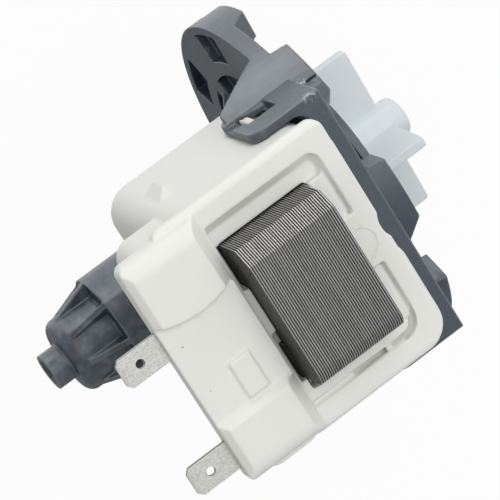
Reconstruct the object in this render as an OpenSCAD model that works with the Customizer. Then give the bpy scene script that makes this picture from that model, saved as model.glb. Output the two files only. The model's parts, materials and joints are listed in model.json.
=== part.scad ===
// Washer drain pump: a magnet rotor in a moulded can, a U-shaped laminated stator with
// two sealed coils, and a four-blade impeller driven through a lost-motion dog.
// X runs along the rotor axis towards the impeller, Z up to the stator yoke.
// The origin is on the rotor axis, in the plane of the flange's front face.

/* [Mounting flange] */
// Radius of the round flange
flange_r = 39.4; // [38:0.1:42]
// Thickness of the flange plate at its rim
flange_t = 3.8; // [3.4:0.1:5]
// Number of clip lugs round the flange
lug_count = 8; // [4:4:8]
// Width of a lug's front from its middle to its square side
lug_square = 7.7; // [6:0.1:9]
// Width of a lug's front from its middle to its ramp
lug_tip = 6.2; // [5:0.1:7.5]
// Width of the ramp on a lug's other side
lug_ramp = 3.2; // [1:0.1:4]
// Height of the clip lugs in front of the flange
lug_h = 3.9; // [3.4:0.1:5]
// Radial depth of the clip lugs
lug_depth = 6.4; // [5.8:0.1:8]
// Wall left round the moulding pockets inside the lugs
pocket_wall = 1.5; // [1.2:0.1:1.8]
// Web left in front of the shallow pockets
pocket_web = 1.4; // [1:0.1:2]
// Radial depth of the outer ring of pockets
outer_pocket_depth = 6.6; // [5.5:0.1:7]
// Width of each outer pocket, in degrees
outer_pocket_angle = 19; // [16:0.5:22]
// Turn of the outer ring of pockets against the lugs, in degrees
outer_pocket_turn = -3; // [-5:0.5:0]
// Thickness of the rim outside the moulding pockets
pocket_rim = 2; // [1.6:0.1:2.6]
// Inner radius of the inner ring of pockets
inner_pocket_r = 20.5; // [19.5:0.1:22]
// Outer radius of the inner ring of pockets
inner_pocket_top = 27.4; // [25:0.1:29]
// Width of each inner pocket, in degrees
inner_pocket_angle = 34; // [28:1:36]
// Turn of the inner ring of pockets against the lugs, in degrees
inner_pocket_turn = -9; // [-14:1:0]

/* [Spigot] */
// Outer radius of the spigot that enters the pump chamber
spigot_r = 22; // [21.8:0.1:23]
// Height of the spigot in front of the flange
spigot_h = 6.5; // [6:0.1:9]
// Section diameter of the spigot's sealing ring
seal_d = 2; // [1.4:0.1:2]
// Distance from the flange to the middle of the sealing ring
seal_x = 3.6; // [2.6:0.1:4.4]

// Depth of the chamber's floor behind the flange's front face
cup_depth = 2; // [1.4:0.1:2.2]

/* [Stator socket] */
// Height of the socket's top rail above the rotor axis
rail_top = 43; // [40:0.5:46]
// Depth of the top rail, measured downwards
rail_h = 5; // [4:0.5:6]
// Length of the socket's rails along the axis
rail_t = 4; // [3:0.1:5]
// Set-back of the rails behind the flange's front face
rail_setback = 1.3; // [1:0.1:2]
// Radius of the hollow corner between a snap arm and the rail
arch_r = 3.5; // [2:0.1:4]
// Thickness of the snap arms
arm_t = 2; // [1.6:0.1:2.4]
// Reach of the snap arms behind the flange's front face
arm_reach = 17.3; // [17:0.1:20]
// Lower edge of a snap arm's free end above the rotor axis
arm_low = 24; // [22:0.5:26]
// Corner radius of a snap arm's free end
arm_round = 3; // [2:0.5:4]
// Length of the window in a snap arm
window_len = 6.7; // [5:0.1:7.5]
// Height of the window in a snap arm
window_h = 7.6; // [6:0.1:8]
// Lower edge of the window above the rotor axis
window_z = 27.6; // [27:0.1:30]
// Depth of the channel between the window and a snap arm's end
channel_depth = 0.9; // [0.4:0.1:1.2]
// Height of the channel at the window
channel_h = 6.2; // [4:0.1:7]
// Narrowing of the channel towards the arm's end
channel_taper = 1.8; // [0:0.1:2.4]
// Lower end of the rim tongue behind a snap arm, above the rotor axis
tongue_low = 20; // [18:0.5:22]
// Height of the tongue's root above the window's lower edge
tongue_lap = 2; // [1:0.1:3]
// Rise of the tongue's free end above the lower edge of the arm
tongue_rise = 1.5; // [0.5:0.1:2]

/* [Rotor can] */
// Outer radius of the can
can_r = 11.5; // [11:0.1:12]
// Wall of the can
can_wall = 1.2; // [1:0.1:1.4]
// Length of the can from the flange's front face to its step
can_len = 52.3; // [51:0.1:58]
// Outer radius of the bearing tail behind the step
tail_r = 8.3; // [7.8:0.1:8.6]
// Length of the bearing tail
tail_len = 11.1; // [10.6:0.1:15]
// Wall of the bearing tail and of the can's end
tail_wall = 1.5; // [1.2:0.1:1.6]
// Rounding of the tail's rear edge
tail_round = 2.4; // [1:0.1:2.6]
// Radius of the locating nub on the tail
nub_r = 4; // [3:0.1:5]
// Length of the locating nub
nub_len = 4.3; // [2:0.1:6]
// Number of gusset ribs round the tail
rib_count = 8; // [4:1:10]
// Thickness of a gusset rib
rib_t = 1.3; // [0.8:0.1:2]
// Turn of the first gusset rib from the arm side, in degrees
rib_turn = 4.5; // [0:0.5:40]
// Length of a gusset rib along the tail
rib_len = 8.6; // [6:0.1:9]
// Length of a brace along the can, behind the flange
brace_len = 9.2; // [6:0.1:12]
// Height of a brace up the flange, from the can's wall
brace_h = 14; // [10:0.5:16]
// Thickness of a brace
brace_t = 2; // [1.6:0.1:2.4]

/* [Stator core] */
// Number of laminations in the stack
sheet_count = 40; // [30:1:44]
// Thickness of one lamination with its varnish
sheet_pitch = 0.5; // [0.4:0.05:0.5]
// Varnish gap between two laminations
sheet_gap = 0.04; // [0.02:0.01:0.08]
// Distance from the flange's front face back to the middle of the stack
stack_setback = 24.8; // [24.6:0.1:27]
// Width of one leg of the core
leg_w = 9.65; // [9:0.05:10.5]
// Width of the window between the legs
window_w = 14; // [13.6:0.1:15]
// Height of the yoke above its seat
yoke_h = 11.3; // [9:0.1:13]
// Corner chamfer of the yoke on the arm side
yoke_chamfer = 3.3; // [1:0.1:4]
// Reach of the yoke on the far side, short of its leg
yoke_far = 14.6; // [14:0.1:15.6]
// Corner radius of the yoke on the far side
yoke_round = 3.3; // [1:0.1:4]
// Depth of the pole tips below the rotor axis
pole_drop = 14; // [12:0.5:16]
// Gap between the pole tips under the can
pole_gap = 8; // [6:0.5:10]
// Diameter of the two rivets through the stack
rivet_d = 3; // [2:0.1:4]

/* [Coils] */
// Height of the coil bobbins
coil_h = 32; // [28:0.5:34]
// Wall of a bobbin's tube and flanges
bobbin_wall = 1; // [0.8:0.1:1.2]
// Gap between the two bobbins
bobbin_gap = 1.8; // [1.6:0.1:2.4]
// Bare edge of a bobbin's flange outside its winding
flange_edge = 0.5; // [0.2:0.1:0.8]

/* [Coil overmould] */
// Overmould wall behind the coils
mould_wall = 1.7; // [1.3:0.1:2.2]
// Overmould wall in front of the coils
mould_front = 2.4; // [1.8:0.1:2.6]
// Overmould wall on the arm side
mould_side = 3.2; // [2.8:0.1:4]
// Overmould wall on the far side
mould_far = 2.4; // [2:0.1:3]
// Overmould floor under the coils
mould_floor = 1.6; // [1.2:0.1:2]
// Overmould roof over the coils, which seats the yoke
mould_roof = 2.6; // [2:0.1:3]
// Radius of the overmould's upright corners
mould_corner = 6; // [4:0.5:7]
// Radius of the overmould's top edges
mould_edge = 1.6; // [1:0.1:2]
// Height of the top frame above the yoke's seat
frame_h = 2.4; // [2:0.1:3]
// Recess in front of the yoke
recess_front = 4.7; // [4:0.1:5]
// Height of the collar that stands in the recess in front of the yoke
collar_h = 1.6; // [1:0.1:1.8]
// Slope of the collar's front edge
collar_slope = 0.5; // [0.3:0.1:0.8]
// Recess beside the yoke on the arm side
recess_left = 5.3; // [3:0.1:5.6]
// Bevel of the recess wall in front
recess_bevel = 1.2; // [0.8:0.1:1.6]
// Bevel of the recess wall on the arm side
recess_slope = 2; // [1:0.1:2.4]
// Rim between the yoke's recess and the groove on the far side
rim_w = 1.65; // [1.2:0.05:2]
// Width of the groove on the far side
groove_w = 1.8; // [1.4:0.1:2.2]
// Depth of the groove on the far side
groove_depth = 1.2; // [0.8:0.1:1.6]
// Front end of the groove's deep part
groove_deep_end = 6.2; // [4:0.1:8]
// Front end of the groove's shallow part
groove_end = 11.5; // [9:0.1:13]
// Overhang of the lip along the arm side
lip = 0.8; // [0.4:0.1:1]
// Reach of the lip behind the coil body
lip_back = 3.4; // [1:0.1:4]
// Radius of the lip's corners
lip_corner = 2.6; // [2:0.1:5]
// Swell of the front edge on the far side
front_swell = 0.7; // [0.2:0.1:0.8]
// Length of the swell along the axis
swell_len = 14; // [13:0.5:16]
// Depth of the finger notch in the front edge
notch = 0.8; // [0.4:0.1:1.2]
// Middle of the finger notch, the bridge and the ejector mark, towards the arm side
notch_y = 1.2; // [0:0.1:2]
// Width of the bridge across the recess in front of the yoke
bridge_w = 11.4; // [9:0.1:13]
// Radius of the ejector mark on the bridge
mark_r = 3.3; // [2:0.1:4]
// Depth of the ejector mark
mark_depth = 0.2; // [0.1:0.05:0.4]

// Rear end of the small catch on the arm side
catch_x = -12.6; // [-14:0.1:-8]
// Length of the small catch
catch_len = 3.2; // [2:0.1:5]
// Lower end of the small catch
catch_z = 26; // [20:0.5:30]
// Height of the small catch
catch_h = 12; // [8:0.5:14]
// Thickness of the small catch
catch_t = 1.5; // [0.8:0.1:2]

/* [Terminal block] */
// Reach of the terminal block behind the coils
block_reach = 12.2; // [10:0.1:14]
// Thickness of the terminal block's shelf
block_t = 3.9; // [3.6:0.1:5]
// Height of the block's middle above the top frame
block_rise = 1.8; // [1.4:0.1:2.4]
// Height of the two end pads above the block's middle
pad_rise = 1.6; // [1:0.1:2]
// Arm-side edge of the block
block_left = 25.7; // [25:0.1:27]
// Far-side edge of the block
block_right = 24.2; // [23.4:0.1:25]
// Middle of the arm-side pad's edge
pad_left = 10.2; // [9:0.1:12]
// Radius of the arm-side pad's edge
pad_arc = 21; // [18:0.5:30]
// Edge of the far-side pad
pad_right = 11.9; // [11:0.1:13]
// Radius of the block's upright corners
block_corner = 2; // [1.6:0.1:4]
// Bevel of the pads' rear edges
pad_edge = 1.4; // [0.8:0.1:1.8]
// Rounding of the pads' outer edges
pad_round = 4; // [1.4:0.1:4.2]
// Slope of the block's front edge, measured along the axis
block_slope = 3.2; // [2:0.1:3.6]
// Gap between the block and the laminations
pocket_gap = 1.3; // [1:0.1:1.6]
// Set-back of the tier under the shelf from the shelf's edge
tier_setback = 3.9; // [3:0.1:6]
// Height of the tier under the shelf
tier_h = 12; // [10:0.5:14]
// Radius of the tier's upright corners
tier_corner = 4; // [2:0.1:5]
// Overhang of the tier on the far side, beyond the shelf's edge
tier_far = 1.6; // [0.6:0.1:2]
// Width of the thermal cut-out sealed in the tier
cutout_w = 14; // [12:0.5:16]
// Height of the thermal cut-out
cutout_h = 4.5; // [3:0.1:5]
// Resin over the thermal cut-out, below the shelf
cutout_cover = 2.5; // [2:0.1:3]
// Resin behind the thermal cut-out
cutout_back = 2; // [1.6:0.1:2.4]

/* [Terminals] */
// Width of a push-on tab
tab_w = 6.3; // [4.8:0.1:6.3]
// Thickness of a push-on tab
tab_t = 0.8; // [0.5:0.1:0.8]
// Free length of a push-on tab
tab_out = 9.6; // [8:0.1:11]
// Length of a tab inside the block
tab_in = 7; // [5:0.1:8]
// Distance between the two tabs
tab_spacing = 25.5; // [22:0.1:26]
// Offset of the tabs' middle towards the far side
tab_offset = 4.6; // [3:0.1:5]
// Diameter of the detent hole in a tab
tab_hole = 1.8; // [1.4:0.1:2.2]
// Distance from a tab's end to its detent hole
tab_hole_x = 4.4; // [3.4:0.1:5]
// Corner chamfer of a tab
tab_chamfer = 1; // [0.6:0.1:1.4]

/* [Rotor] */
// Radius of the shaft
shaft_r = 2; // [1.8:0.1:2.2]
// Length of the magnet
magnet_len = 26; // [24:0.5:26]
// Gap between the magnet and the can's bore
air_gap = 0.45; // [0.3:0.05:0.6]
// Radius of the magnet's bore
magnet_bore = 4.5; // [4:0.1:5.5]
// Thickness of the carrier's end discs
disc_t = 0.9; // [0.6:0.1:1.2]
// Radius of the carrier's end discs
disc_r = 8.4; // [7:0.1:9]
// Radius of the carrier's rear sleeve
sleeve_r = 3.8; // [3:0.1:4.4]
// Thickness of a thrust washer
washer_t = 0.6; // [0.4:0.1:0.8]
// Radius of a thrust washer
washer_r = 3.6; // [3.2:0.1:4]

/* [Bearings] */
// Radius of a bearing bush
bush_r = 4.5; // [4:0.1:4.8]
// Length of a bearing bush
bush_len = 6.4; // [6:0.1:6.6]
// Length of the bearing holder inside the can
holder_len = 10; // [9.6:0.1:10.2]
// Radius of the rubber cushion round the front bush
cushion_r = 7; // [6:0.1:8]
// Thickness of the bearing holder's front disc
holder_t = 1.8; // [1.4:0.1:2]

/* [Impeller] */
// Radius of the blades
blade_r = 18.7; // [16:0.05:18.8]
// Distance from the flange's front face to the blades' front edge
blade_front = 18.5; // [18:0.05:24]
// Thickness of a blade
blade_t = 2; // [1.4:0.1:2.6]
// Rounding of a blade's outer corners
blade_round = 0.6; // [0.4:0.1:3]
// Number of blades
blade_count = 4; // [3:1:6]
// Turn of the first blade from the arm side, in degrees
blade_turn = 5; // [0:0.1:45]
// Radius of the hub's nose
nose_r = 4.5; // [3.6:0.1:5]
// Distance from the blades' front edge to the tip of the nose
nose_len = 3.95; // [2:0.05:5]
// Rounding of the nose's edge
nose_round = 1.8; // [0.8:0.1:2.4]

/* [Drive coupling] */
// Outer radius of the coupling drum in the impeller
drum_r = 8.9; // [8.6:0.1:9.6]
// Wall of the coupling drum
drum_wall = 1.5; // [1.2:0.1:1.8]
// Length of the driving dog
dog_len = 5; // [4:0.1:6]
// Width of the driving dog, in degrees
dog_angle = 79; // [70:1:80]
// Width of the driven tooth, in degrees
tooth_angle = 80; // [70:1:80]
// Width of each rubber pad beside the driven tooth, in degrees
damper_angle = 10; // [8:1:10]

/* [Clearances] */
// Radial clearance of the shaft in its bushes and of the impeller on the shaft
running_clearance = 0.05; // [0.02:0.01:0.08]
// Axial float of the rotor at each thrust washer
end_float = 0.3; // [0.2:0.05:0.5]
// Clearance between turning parts and fixed walls
turning_clearance = 0.65; // [0.6:0.05:1]
// Clearance between the coils and the overmould
mould_gap = 0.1; // [0.05:0.01:0.2]
// Clearance between the core and the bobbins
core_gap = 0.2; // [0.1:0.05:0.3]
// Clearance between the can and the poles
pole_clearance = 0.4; // [0.3:0.05:0.6]
// Clearance between the overmould and the snap arms
arm_gap = 0.3; // [0.2:0.05:0.4]

/* [Hidden] */
$fn = 96;
// Small overlap that joins moulded features
bite = 0.2;

// Colours of the materials
slate = [0.33, 0.36, 0.41];
ivory = [0.90, 0.90, 0.86];
steel = [0.45, 0.45, 0.45];
tin = [0.72, 0.71, 0.68];
copper = [0.72, 0.42, 0.24];
rubber = [0.10, 0.10, 0.10];
ferrite = [0.22, 0.22, 0.24];
frost = [0.86, 0.89, 0.92];
amber = [0.80, 0.72, 0.52];

// Stator core and coils, outwards from the rotor axis
stack_x = -stack_setback;
stack_len = sheet_count * sheet_pitch;
core_half = window_w / 2 + leg_w;
leg_y = window_w / 2 + leg_w / 2;
pole_r = can_r + pole_clearance;
tube_x = stack_len / 2 + core_gap + bobbin_wall;
tube_y = leg_w / 2 + core_gap + bobbin_wall;
coil_build = leg_y - bobbin_gap / 2 - tube_y;
coil_x = tube_x + coil_build;
coil_y = tube_y + coil_build;
body_x = coil_x + mould_gap + mould_wall;
body_front = coil_x + mould_gap + mould_front;
body_y = leg_y + coil_y + mould_gap + mould_side;
body_far = -leg_y - coil_y - mould_gap - mould_far;
body_z = can_r + pole_clearance + bite + 0.3;
coil_z = body_z + mould_floor;
seat_z = coil_z + coil_h + mould_roof;
frame_z = seat_z + frame_h;
core_top = seat_z + yoke_h;

// Terminal block, measured from the middle of the stack
block_back = -body_x - block_reach;
block_front = -stack_len / 2 - pocket_gap;
block_z = frame_z + block_rise;
shelf_z = block_z - block_t;
pad_z = block_z + pad_rise;
tab_z = shelf_z + block_t / 2 - tab_t / 2;

// Rotor and bearings along the axis
bore_r = can_r - can_wall;
magnet_r = bore_r - air_gap;
tail_bore = tail_r - tail_wall;
can_floor = -can_len + tail_wall;
tail_end = -can_len - tail_len;
tail_floor = tail_end + tail_wall;
front_bush_x = -holder_len;
front_disc_x = front_bush_x - end_float - washer_t;
magnet_front = front_disc_x - disc_t;
magnet_back = magnet_front - magnet_len;
rear_bush_x = tail_floor + bush_len + end_float;
sleeve_back = rear_bush_x + end_float + washer_t;
shaft_back = tail_floor + end_float;
running_r = shaft_r + running_clearance;

// Impeller and coupling along the axis
chamber_r = blade_r + turning_clearance;
holder_front = holder_t - cup_depth;
drum_x = holder_front + turning_clearance + 0.15;
cover_t = 1.2;
dog_x = drum_x + cover_t + end_float;
drum_floor = dog_x + dog_len + end_float;
drum_front = drum_floor + drum_wall;
drum_bore = drum_r - drum_wall;
dog_hub_r = 4;
dog_tip_r = drum_bore - end_float;
tooth_root_r = dog_hub_r + end_float;
nose_tip = blade_front + nose_len;
shaft_front = blade_front - drum_wall;
tooth_turn = blade_turn + 180;

// Snap arms
arm_in = body_y + arm_gap;
arm_out = arm_in + arm_t;
rail_back = -rail_setback - rail_t;
window_x = -arm_reach + 2.7;

// Moves a shape to the middle of the lamination stack
module at_stack() translate([stack_x, 0, 0]) children();

// Extrudes a profile drawn in Y and Z along X
module along_x(from, to) translate([from, 0, 0]) rotate([90, 0, 90]) linear_extrude(to - from) children();

// Extrudes a profile drawn in X and Z along Y
module along_y(from, to) translate([0, to, 0]) rotate([90, 0, 0]) linear_extrude(to - from) children();

// Extrudes a profile drawn in X and Y along Z
module along_z(from, to) translate([0, 0, from]) linear_extrude(to - from) children();

// Revolves a profile drawn as radius and X
module around_x() rotate([0, 90, 0]) rotate_extrude() children();

// Rectangle between two corners
module span(x0, x1, y0, y1) translate([x0, y0]) square([x1 - x0, y1 - y0]);

// Rectangle with four round corners
module round_span(x0, x1, y0, y1, r) {
    span(x0 + r, x1 - r, y0, y1);
    span(x0, x1, y0 + r, y1 - r);
    for (x = [x0 + r, x1 - r], y = [y0 + r, y1 - r]) translate([x, y]) circle(r);
}

// Rectangle with its two upper corners round
module arch_span(x0, x1, y0, y1, r) {
    span(x0, x1, y0, y1 - r);
    span(x0 + r, x1 - r, y0, y1);
    for (x = [x0 + r, x1 - r]) translate([x, y1 - r]) circle(r);
}

// Ring between two radii
module ring(outer, inner) difference() {
    circle(outer);
    circle(inner);
}

// Wedge from the axis to radius r, of a given width in degrees, about the Y direction
module wedge(r, angle) {
    reach = r / cos(angle / 2);
    polygon([[0, 0], [reach * cos(angle / 2), -reach * sin(angle / 2)],
             [reach * cos(angle / 2), reach * sin(angle / 2)]]);
}

// Part of a ring, a given width in degrees wide, turned from the Y direction
module sector(outer, inner, angle, turn) intersection() {
    ring(outer, inner);
    rotate(turn) wedge(outer * 1.2, angle);
}

// Hollow cylinder on the axis
module tube(outer, inner, from, to) along_x(from, to) ring(outer, inner);

// Copies a shape to both sides of the stator
module both_sides() {
    children();
    mirror([0, 1, 0]) children();
}

// Pockets that core out the lugs and lighten the flange's rear
module flange_pockets() {
    top = flange_r - pocket_rim;
    for (i = [0 : lug_count - 1]) {
        turn = i * 360 / lug_count;
        if (abs(abs(turn - 90) - 45) > 1) {
            along_x(-flange_t - 1, -pocket_web)
                sector(top, top - outer_pocket_depth, outer_pocket_angle, turn + outer_pocket_turn);
            along_x(-flange_t - 1, lug_h - pocket_wall)
                sector(top, flange_r - lug_depth + pocket_wall, 15, turn - 1.2);
        }
        along_x(-flange_t - 1, -pocket_web)
            sector(inner_pocket_top, inner_pocket_r, inner_pocket_angle, turn + inner_pocket_turn);
    }
}

// Turns a lug's ramped flank about its outer end, so that it points at the rotor axis
module radial_flank(z) translate([0, flange_r, z]) rotate([atan2(z, flange_r), 0, 0])
    translate([0, -flange_r, -z]) children();

// Space between two clip lugs: a ramp on one flank, square on the other
module lug_gap() intersection() {
    reach = flange_r;
    draft = 0.4;
    radial_flank(lug_tip) along_y(reach / 2, reach + 5) polygon([
        [0, lug_tip + lug_ramp], [lug_h, lug_tip], [lug_h + 1, lug_tip], [lug_h + 1, reach], [0, reach]]);
    rotate([360 / lug_count, 0, 0]) along_y(reach / 2, reach + 5) polygon([
        [0, -lug_square - draft], [lug_h, -lug_square], [lug_h + 1, -lug_square], [lug_h + 1, -reach], [0, -reach]]);
}

// Round plate with its lugs and the spigot in front
module flange() difference() {
    union() {
        difference() {
            along_x(-flange_t, lug_h) circle(flange_r);
            along_x(0, lug_h + 1) circle(flange_r - lug_depth);
            for (i = [0 : lug_count - 1]) rotate([i * 360 / lug_count, 0, 0]) lug_gap();
        }
        along_x(-bite, spigot_h) circle(spigot_r);
    }
    along_x(-cup_depth, spigot_h + 1) circle(chamber_r);
    flange_pockets();
    around_x() translate([spigot_r - seal_d / 2, seal_x]) {
        circle(seal_d / 2 + 0.05);
        translate([0, -seal_d / 2 - 0.05]) square([seal_d, seal_d + 0.1]);
    }
}

// Side view of a snap arm: it rises from the flange's rim to a free end
module arm_profile() {
    root = -rail_setback;
    r = arm_round;
    back = -arm_reach;
    difference() {
        union() {
            polygon([[root, 8], [root, rail_top], [back + r, rail_top], [back, rail_top - r],
                     [back, arm_low + r], [back + r, arm_low]]);
            translate([back + r, rail_top - r]) circle(r);
            translate([back + r, arm_low + r]) circle(r);
        }
        span(window_x, window_x + window_len, window_z, window_z + window_h);
    }
}

// Side view of the channel from the window to the arm's end
module arm_channel() {
    top = window_z + channel_h;
    end = -arm_reach - 1;
    polygon([[window_x + bite, window_z], [window_x + bite, top], [end, top - channel_taper], [end, window_z]]);
}

// Side view of the curved tongue that backs a snap arm
module tongue_profile() {
    back = -arm_reach + 1;
    polygon([[-bite, tongue_low], [-flange_t, tongue_low], [back, arm_low + tongue_rise], [back, window_z - 0.4],
             [-bite, window_z + tongue_lap]]);
}

// Arm plate, its rounded root and the rim tongue behind it, on one side
module snap_arm() {
    difference() {
        along_y(arm_in, arm_out) arm_profile();
        along_y(arm_out - channel_depth, arm_out + 1) arm_channel();
    }
    along_z(8, rail_top) difference() {
        span(rail_back - arch_r, rail_back + bite, arm_in - arch_r, arm_in + bite);
        translate([rail_back - arch_r, arm_in - arch_r]) circle(arch_r);
        span(rail_back - arch_r - 1, rail_back - arch_r, arm_in - arch_r - 1, arm_in + 1);
    }
    intersection() {
        along_x(-arm_reach, 0) ring(flange_r, flange_r - 3);
        along_y(arm_in + bite, flange_r) tongue_profile();
    }
}

// Frame of rails that the front of the stator sits in
module rails() along_x(rail_back, -rail_setback) difference() {
    span(-arm_out, arm_out, 8, rail_top);
    span(-arm_in, arm_in, 0, rail_top - rail_h);
}

// Gusset ribs between the can's step and its tail
module tail_ribs() for (i = [0 : rib_count - 1]) rotate([i * 360 / rib_count + rib_turn, 0, 0])
    along_y(-rib_t / 2, rib_t / 2) polygon([
        [-can_len + bite, tail_r - 1], [-can_len + bite, can_r], [-can_len - 1.6, can_r - 0.6],
        [-can_len - rib_len, tail_r + 0.2], [-can_len - rib_len, tail_r - 1]]);

// Braces between the can and the flange, under the stator
module can_braces() for (turn = [-150, -110, -70, -30]) rotate([turn - 90, 0, 0]) {
    root = -flange_t + bite;
    back = -flange_t - brace_len;
    along_y(-brace_t / 2, brace_t / 2) polygon([
        [root, can_r - 0.5], [root, can_r + brace_h], [-flange_t, can_r + brace_h],
        [back, can_r + 0.4], [back, can_r - 0.5]]);
}

// Can, tail and nub, solid
module can_outside() around_x() {
    span(0, can_r, -can_len, -flange_t + bite);
    span(0, tail_r - tail_round, tail_end, -can_len + bite);
    span(0, tail_r, tail_end + tail_round, -can_len + bite);
    translate([tail_r - tail_round, tail_end + tail_round]) circle(tail_round);
    span(0, nub_r, tail_end - nub_len, tail_end + bite);
}

// Hollow of the can, its bearing tail and the dimple in the nub
module can_inside() around_x() {
    span(0, bore_r, can_floor, 1);
    span(0, tail_bore, tail_floor, can_floor + 1);
    span(0, nub_r - 1.2, tail_end - nub_len - 1, tail_end - nub_len + 0.8);
}

// One moulding: flange, stator socket, snap arms and rotor can
module rotor_housing() color(slate) {
    difference() {
        union() {
            flange();
            can_outside();
            tail_ribs();
        }
        can_inside();
    }
    rails();
    both_sides() snap_arm();
    can_braces();
}

// Sealing ring, flush in its groove as it is when seated
module spigot_seal() color(rubber) around_x() translate([spigot_r - seal_d / 2, seal_x]) circle(seal_d / 2);

// Outline of one lamination: a U with pole arcs round the can
module lamination_outline() difference() {
    union() {
        polygon([[-core_half, -pole_drop], [core_half, -pole_drop],
                 [core_half, core_top - yoke_chamfer], [core_half - yoke_chamfer, core_top],
                 [0, core_top], [0, seat_z], [-core_half, seat_z]]);
        arch_span(-yoke_far, yoke_chamfer + yoke_round, seat_z - 1, core_top, yoke_round);
    }
    span(-window_w / 2, window_w / 2, 0, seat_z);
    span(-pole_gap / 2, pole_gap / 2, -pole_drop - 1, 1);
    circle(pole_r);
    for (y = [-leg_y, leg_y]) translate([y, seat_z + yoke_h / 2]) circle(rivet_d / 2);
}

// Stack of separate laminations
module lamination_stack() color(steel) at_stack() for (i = [0 : sheet_count - 1]) {
    x = -stack_len / 2 + i * sheet_pitch;
    along_x(x + sheet_gap / 2, x + sheet_pitch - sheet_gap / 2) lamination_outline();
}

// Rivets that hold the stack together, flush at both faces
module core_rivets() color(steel) at_stack() for (y = [-leg_y, leg_y])
    translate([0, y, seat_z + yoke_h / 2]) along_x(-stack_len / 2, stack_len / 2) circle(rivet_d / 2);

// Plan of the overmould, with the swell and the finger notch of its front edge
module body_plan() difference() {
    notch_r = 5;
    union() {
        round_span(-body_x, body_front, body_far, body_y, mould_corner);
        round_span(body_front - swell_len, body_front + front_swell, body_far + 0.6, -1, mould_corner);
    }
    translate([body_front + notch_r - notch, notch_y]) circle(notch_r);
}

// Coil body of the overmould with rounded top edges and a lip on the arm side
module mould_body() {
    intersection() {
        along_z(body_z, frame_z) body_plan();
        along_y(body_far - 1, body_y + 1)
            arch_span(-body_x - 1, body_front + front_swell, body_z - 1, frame_z, mould_edge);
        along_x(-body_x - 1, body_front + front_swell + 1)
            arch_span(body_far, body_y, body_z - 1, frame_z, mould_edge);
    }
    intersection() {
        along_z(frame_z - frame_h, frame_z)
            round_span(-body_x - lip_back, body_front - 0.1, 6, body_y + lip, lip_corner);
        along_x(-body_x - lip_back - 1, body_front + 1) arch_span(1, body_y + lip, frame_z - frame_h - 1, frame_z, mould_edge);
    }
}

// Bridge across the recess in front of the yoke
module recess_bridge() along_z(seat_z - 1, frame_z + 1)
    round_span(stack_len / 2 + core_gap, stack_len / 2 + recess_front + 4,
               notch_y - bridge_w / 2, notch_y + bridge_w / 2, 1.5);

// Shallow round ejector mark on the bridge
module ejector_mark() translate([stack_len / 2 + core_gap + 2.5, notch_y - 0.4, 0])
    along_z(frame_z - mark_depth, frame_z + 1) circle(mark_r);

// Recess round the yoke, with bevelled walls
module yoke_recess() intersection() {
    back = -stack_len / 2 - pocket_gap;
    front = stack_len / 2 + recess_front;
    left = core_half + recess_left;
    right = -core_half - core_gap;
    high = frame_h + 0.5;
    flare = recess_bevel * high / frame_h;
    along_y(right - 3, left + 3) translate([0, seat_z])
        polygon([[back, 0], [front - recess_bevel, 0], [front - recess_bevel + flare, high], [back, high]]);
    along_x(back, front + 3) translate([0, seat_z])
        polygon([[right, 0], [left - recess_slope, 0],
                 [left - recess_slope + recess_slope * high / frame_h, high], [right, high]]);
    along_z(seat_z, seat_z + high) round_span(back - 6, front + 0.3, right - 0.3, left + 0.3, 4);
}

// Low collar in the recess in front of the yoke, with a groove left along its front
module front_collar() {
    near = stack_len / 2 + core_gap;
    edge = stack_len / 2 + recess_front - recess_bevel;
    along_y(-core_half - core_gap - 1, core_half) translate([0, seat_z])
        polygon([[near, -1], [near, collar_h], [edge, collar_h], [edge + collar_slope, collar_h - 2 * collar_slope],
                 [edge + collar_slope, -1]]);
}

// Groove in the frame along the far side of the yoke, deep behind and shallow in front
module far_groove() for (part = [[block_front - 1, groove_deep_end, 1], [groove_deep_end - 1, groove_end, 0.5]]) {
    rim = -core_half - core_gap - rim_w;
    deep = groove_depth * part[2];
    along_x(part[0], part[1]) translate([0, frame_z]) polygon([
        [rim + 0.3, 0.3], [rim, 0], [rim - groove_w * 0.6, -deep], [rim - groove_w, 0], [rim - groove_w, 0.3]]);
}

// Deep pockets between the block and the laminations, either side of a bridge
module bridge_pockets() for (y = [[5.5, core_half], [1 - core_half, -4]])
    translate([block_front, y[0], seat_z - mould_roof + 0.6])
        cube([pocket_gap + 0.4, y[1] - y[0], mould_roof + frame_h]);

// Terminal block: a shelf with two raised end pads and a sloped front
module terminal_block() {
    difference() {
        intersection() {
            along_z(shelf_z, pad_z) round_span(block_back, block_front + 6, -block_right, block_left, block_corner);
            along_y(-block_right - 1, block_left + 1) polygon([
                [block_back, shelf_z - 1], [block_back, pad_z - pad_edge], [block_back + pad_edge, pad_z],
                [block_front - block_slope, pad_z], [block_front, pad_z - block_t], [block_front, shelf_z - 1]]);
            along_x(block_back - 1, block_front + 1)
                arch_span(-block_right, block_left, shelf_z - 1, pad_z, pad_round);
        }
        difference() {
            along_x(block_back - 1, block_front + 1) polygon([
                [-pad_right, pad_z], [-pad_right + pad_rise, block_z], [block_left - 12, block_z],
                [block_left - 12, pad_z + 1], [-pad_right, pad_z + 1]]);
            translate([(block_back + block_front) / 2, pad_left + pad_arc, 0])
                along_z(block_z - 1, pad_z + 1) circle(pad_arc);
        }
    }
    along_z(shelf_z - tier_h, shelf_z + bite)
        round_span(block_back + tier_setback, -body_x + mould_corner,
                   -block_right - tier_far, block_left - 0.8, tier_corner);
    translate([(block_back + block_front) / 2 - 1.2, -pad_right + 2.2, block_z - bite])
        cube([4.7, 8, 0.4 + bite]);
}

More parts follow.
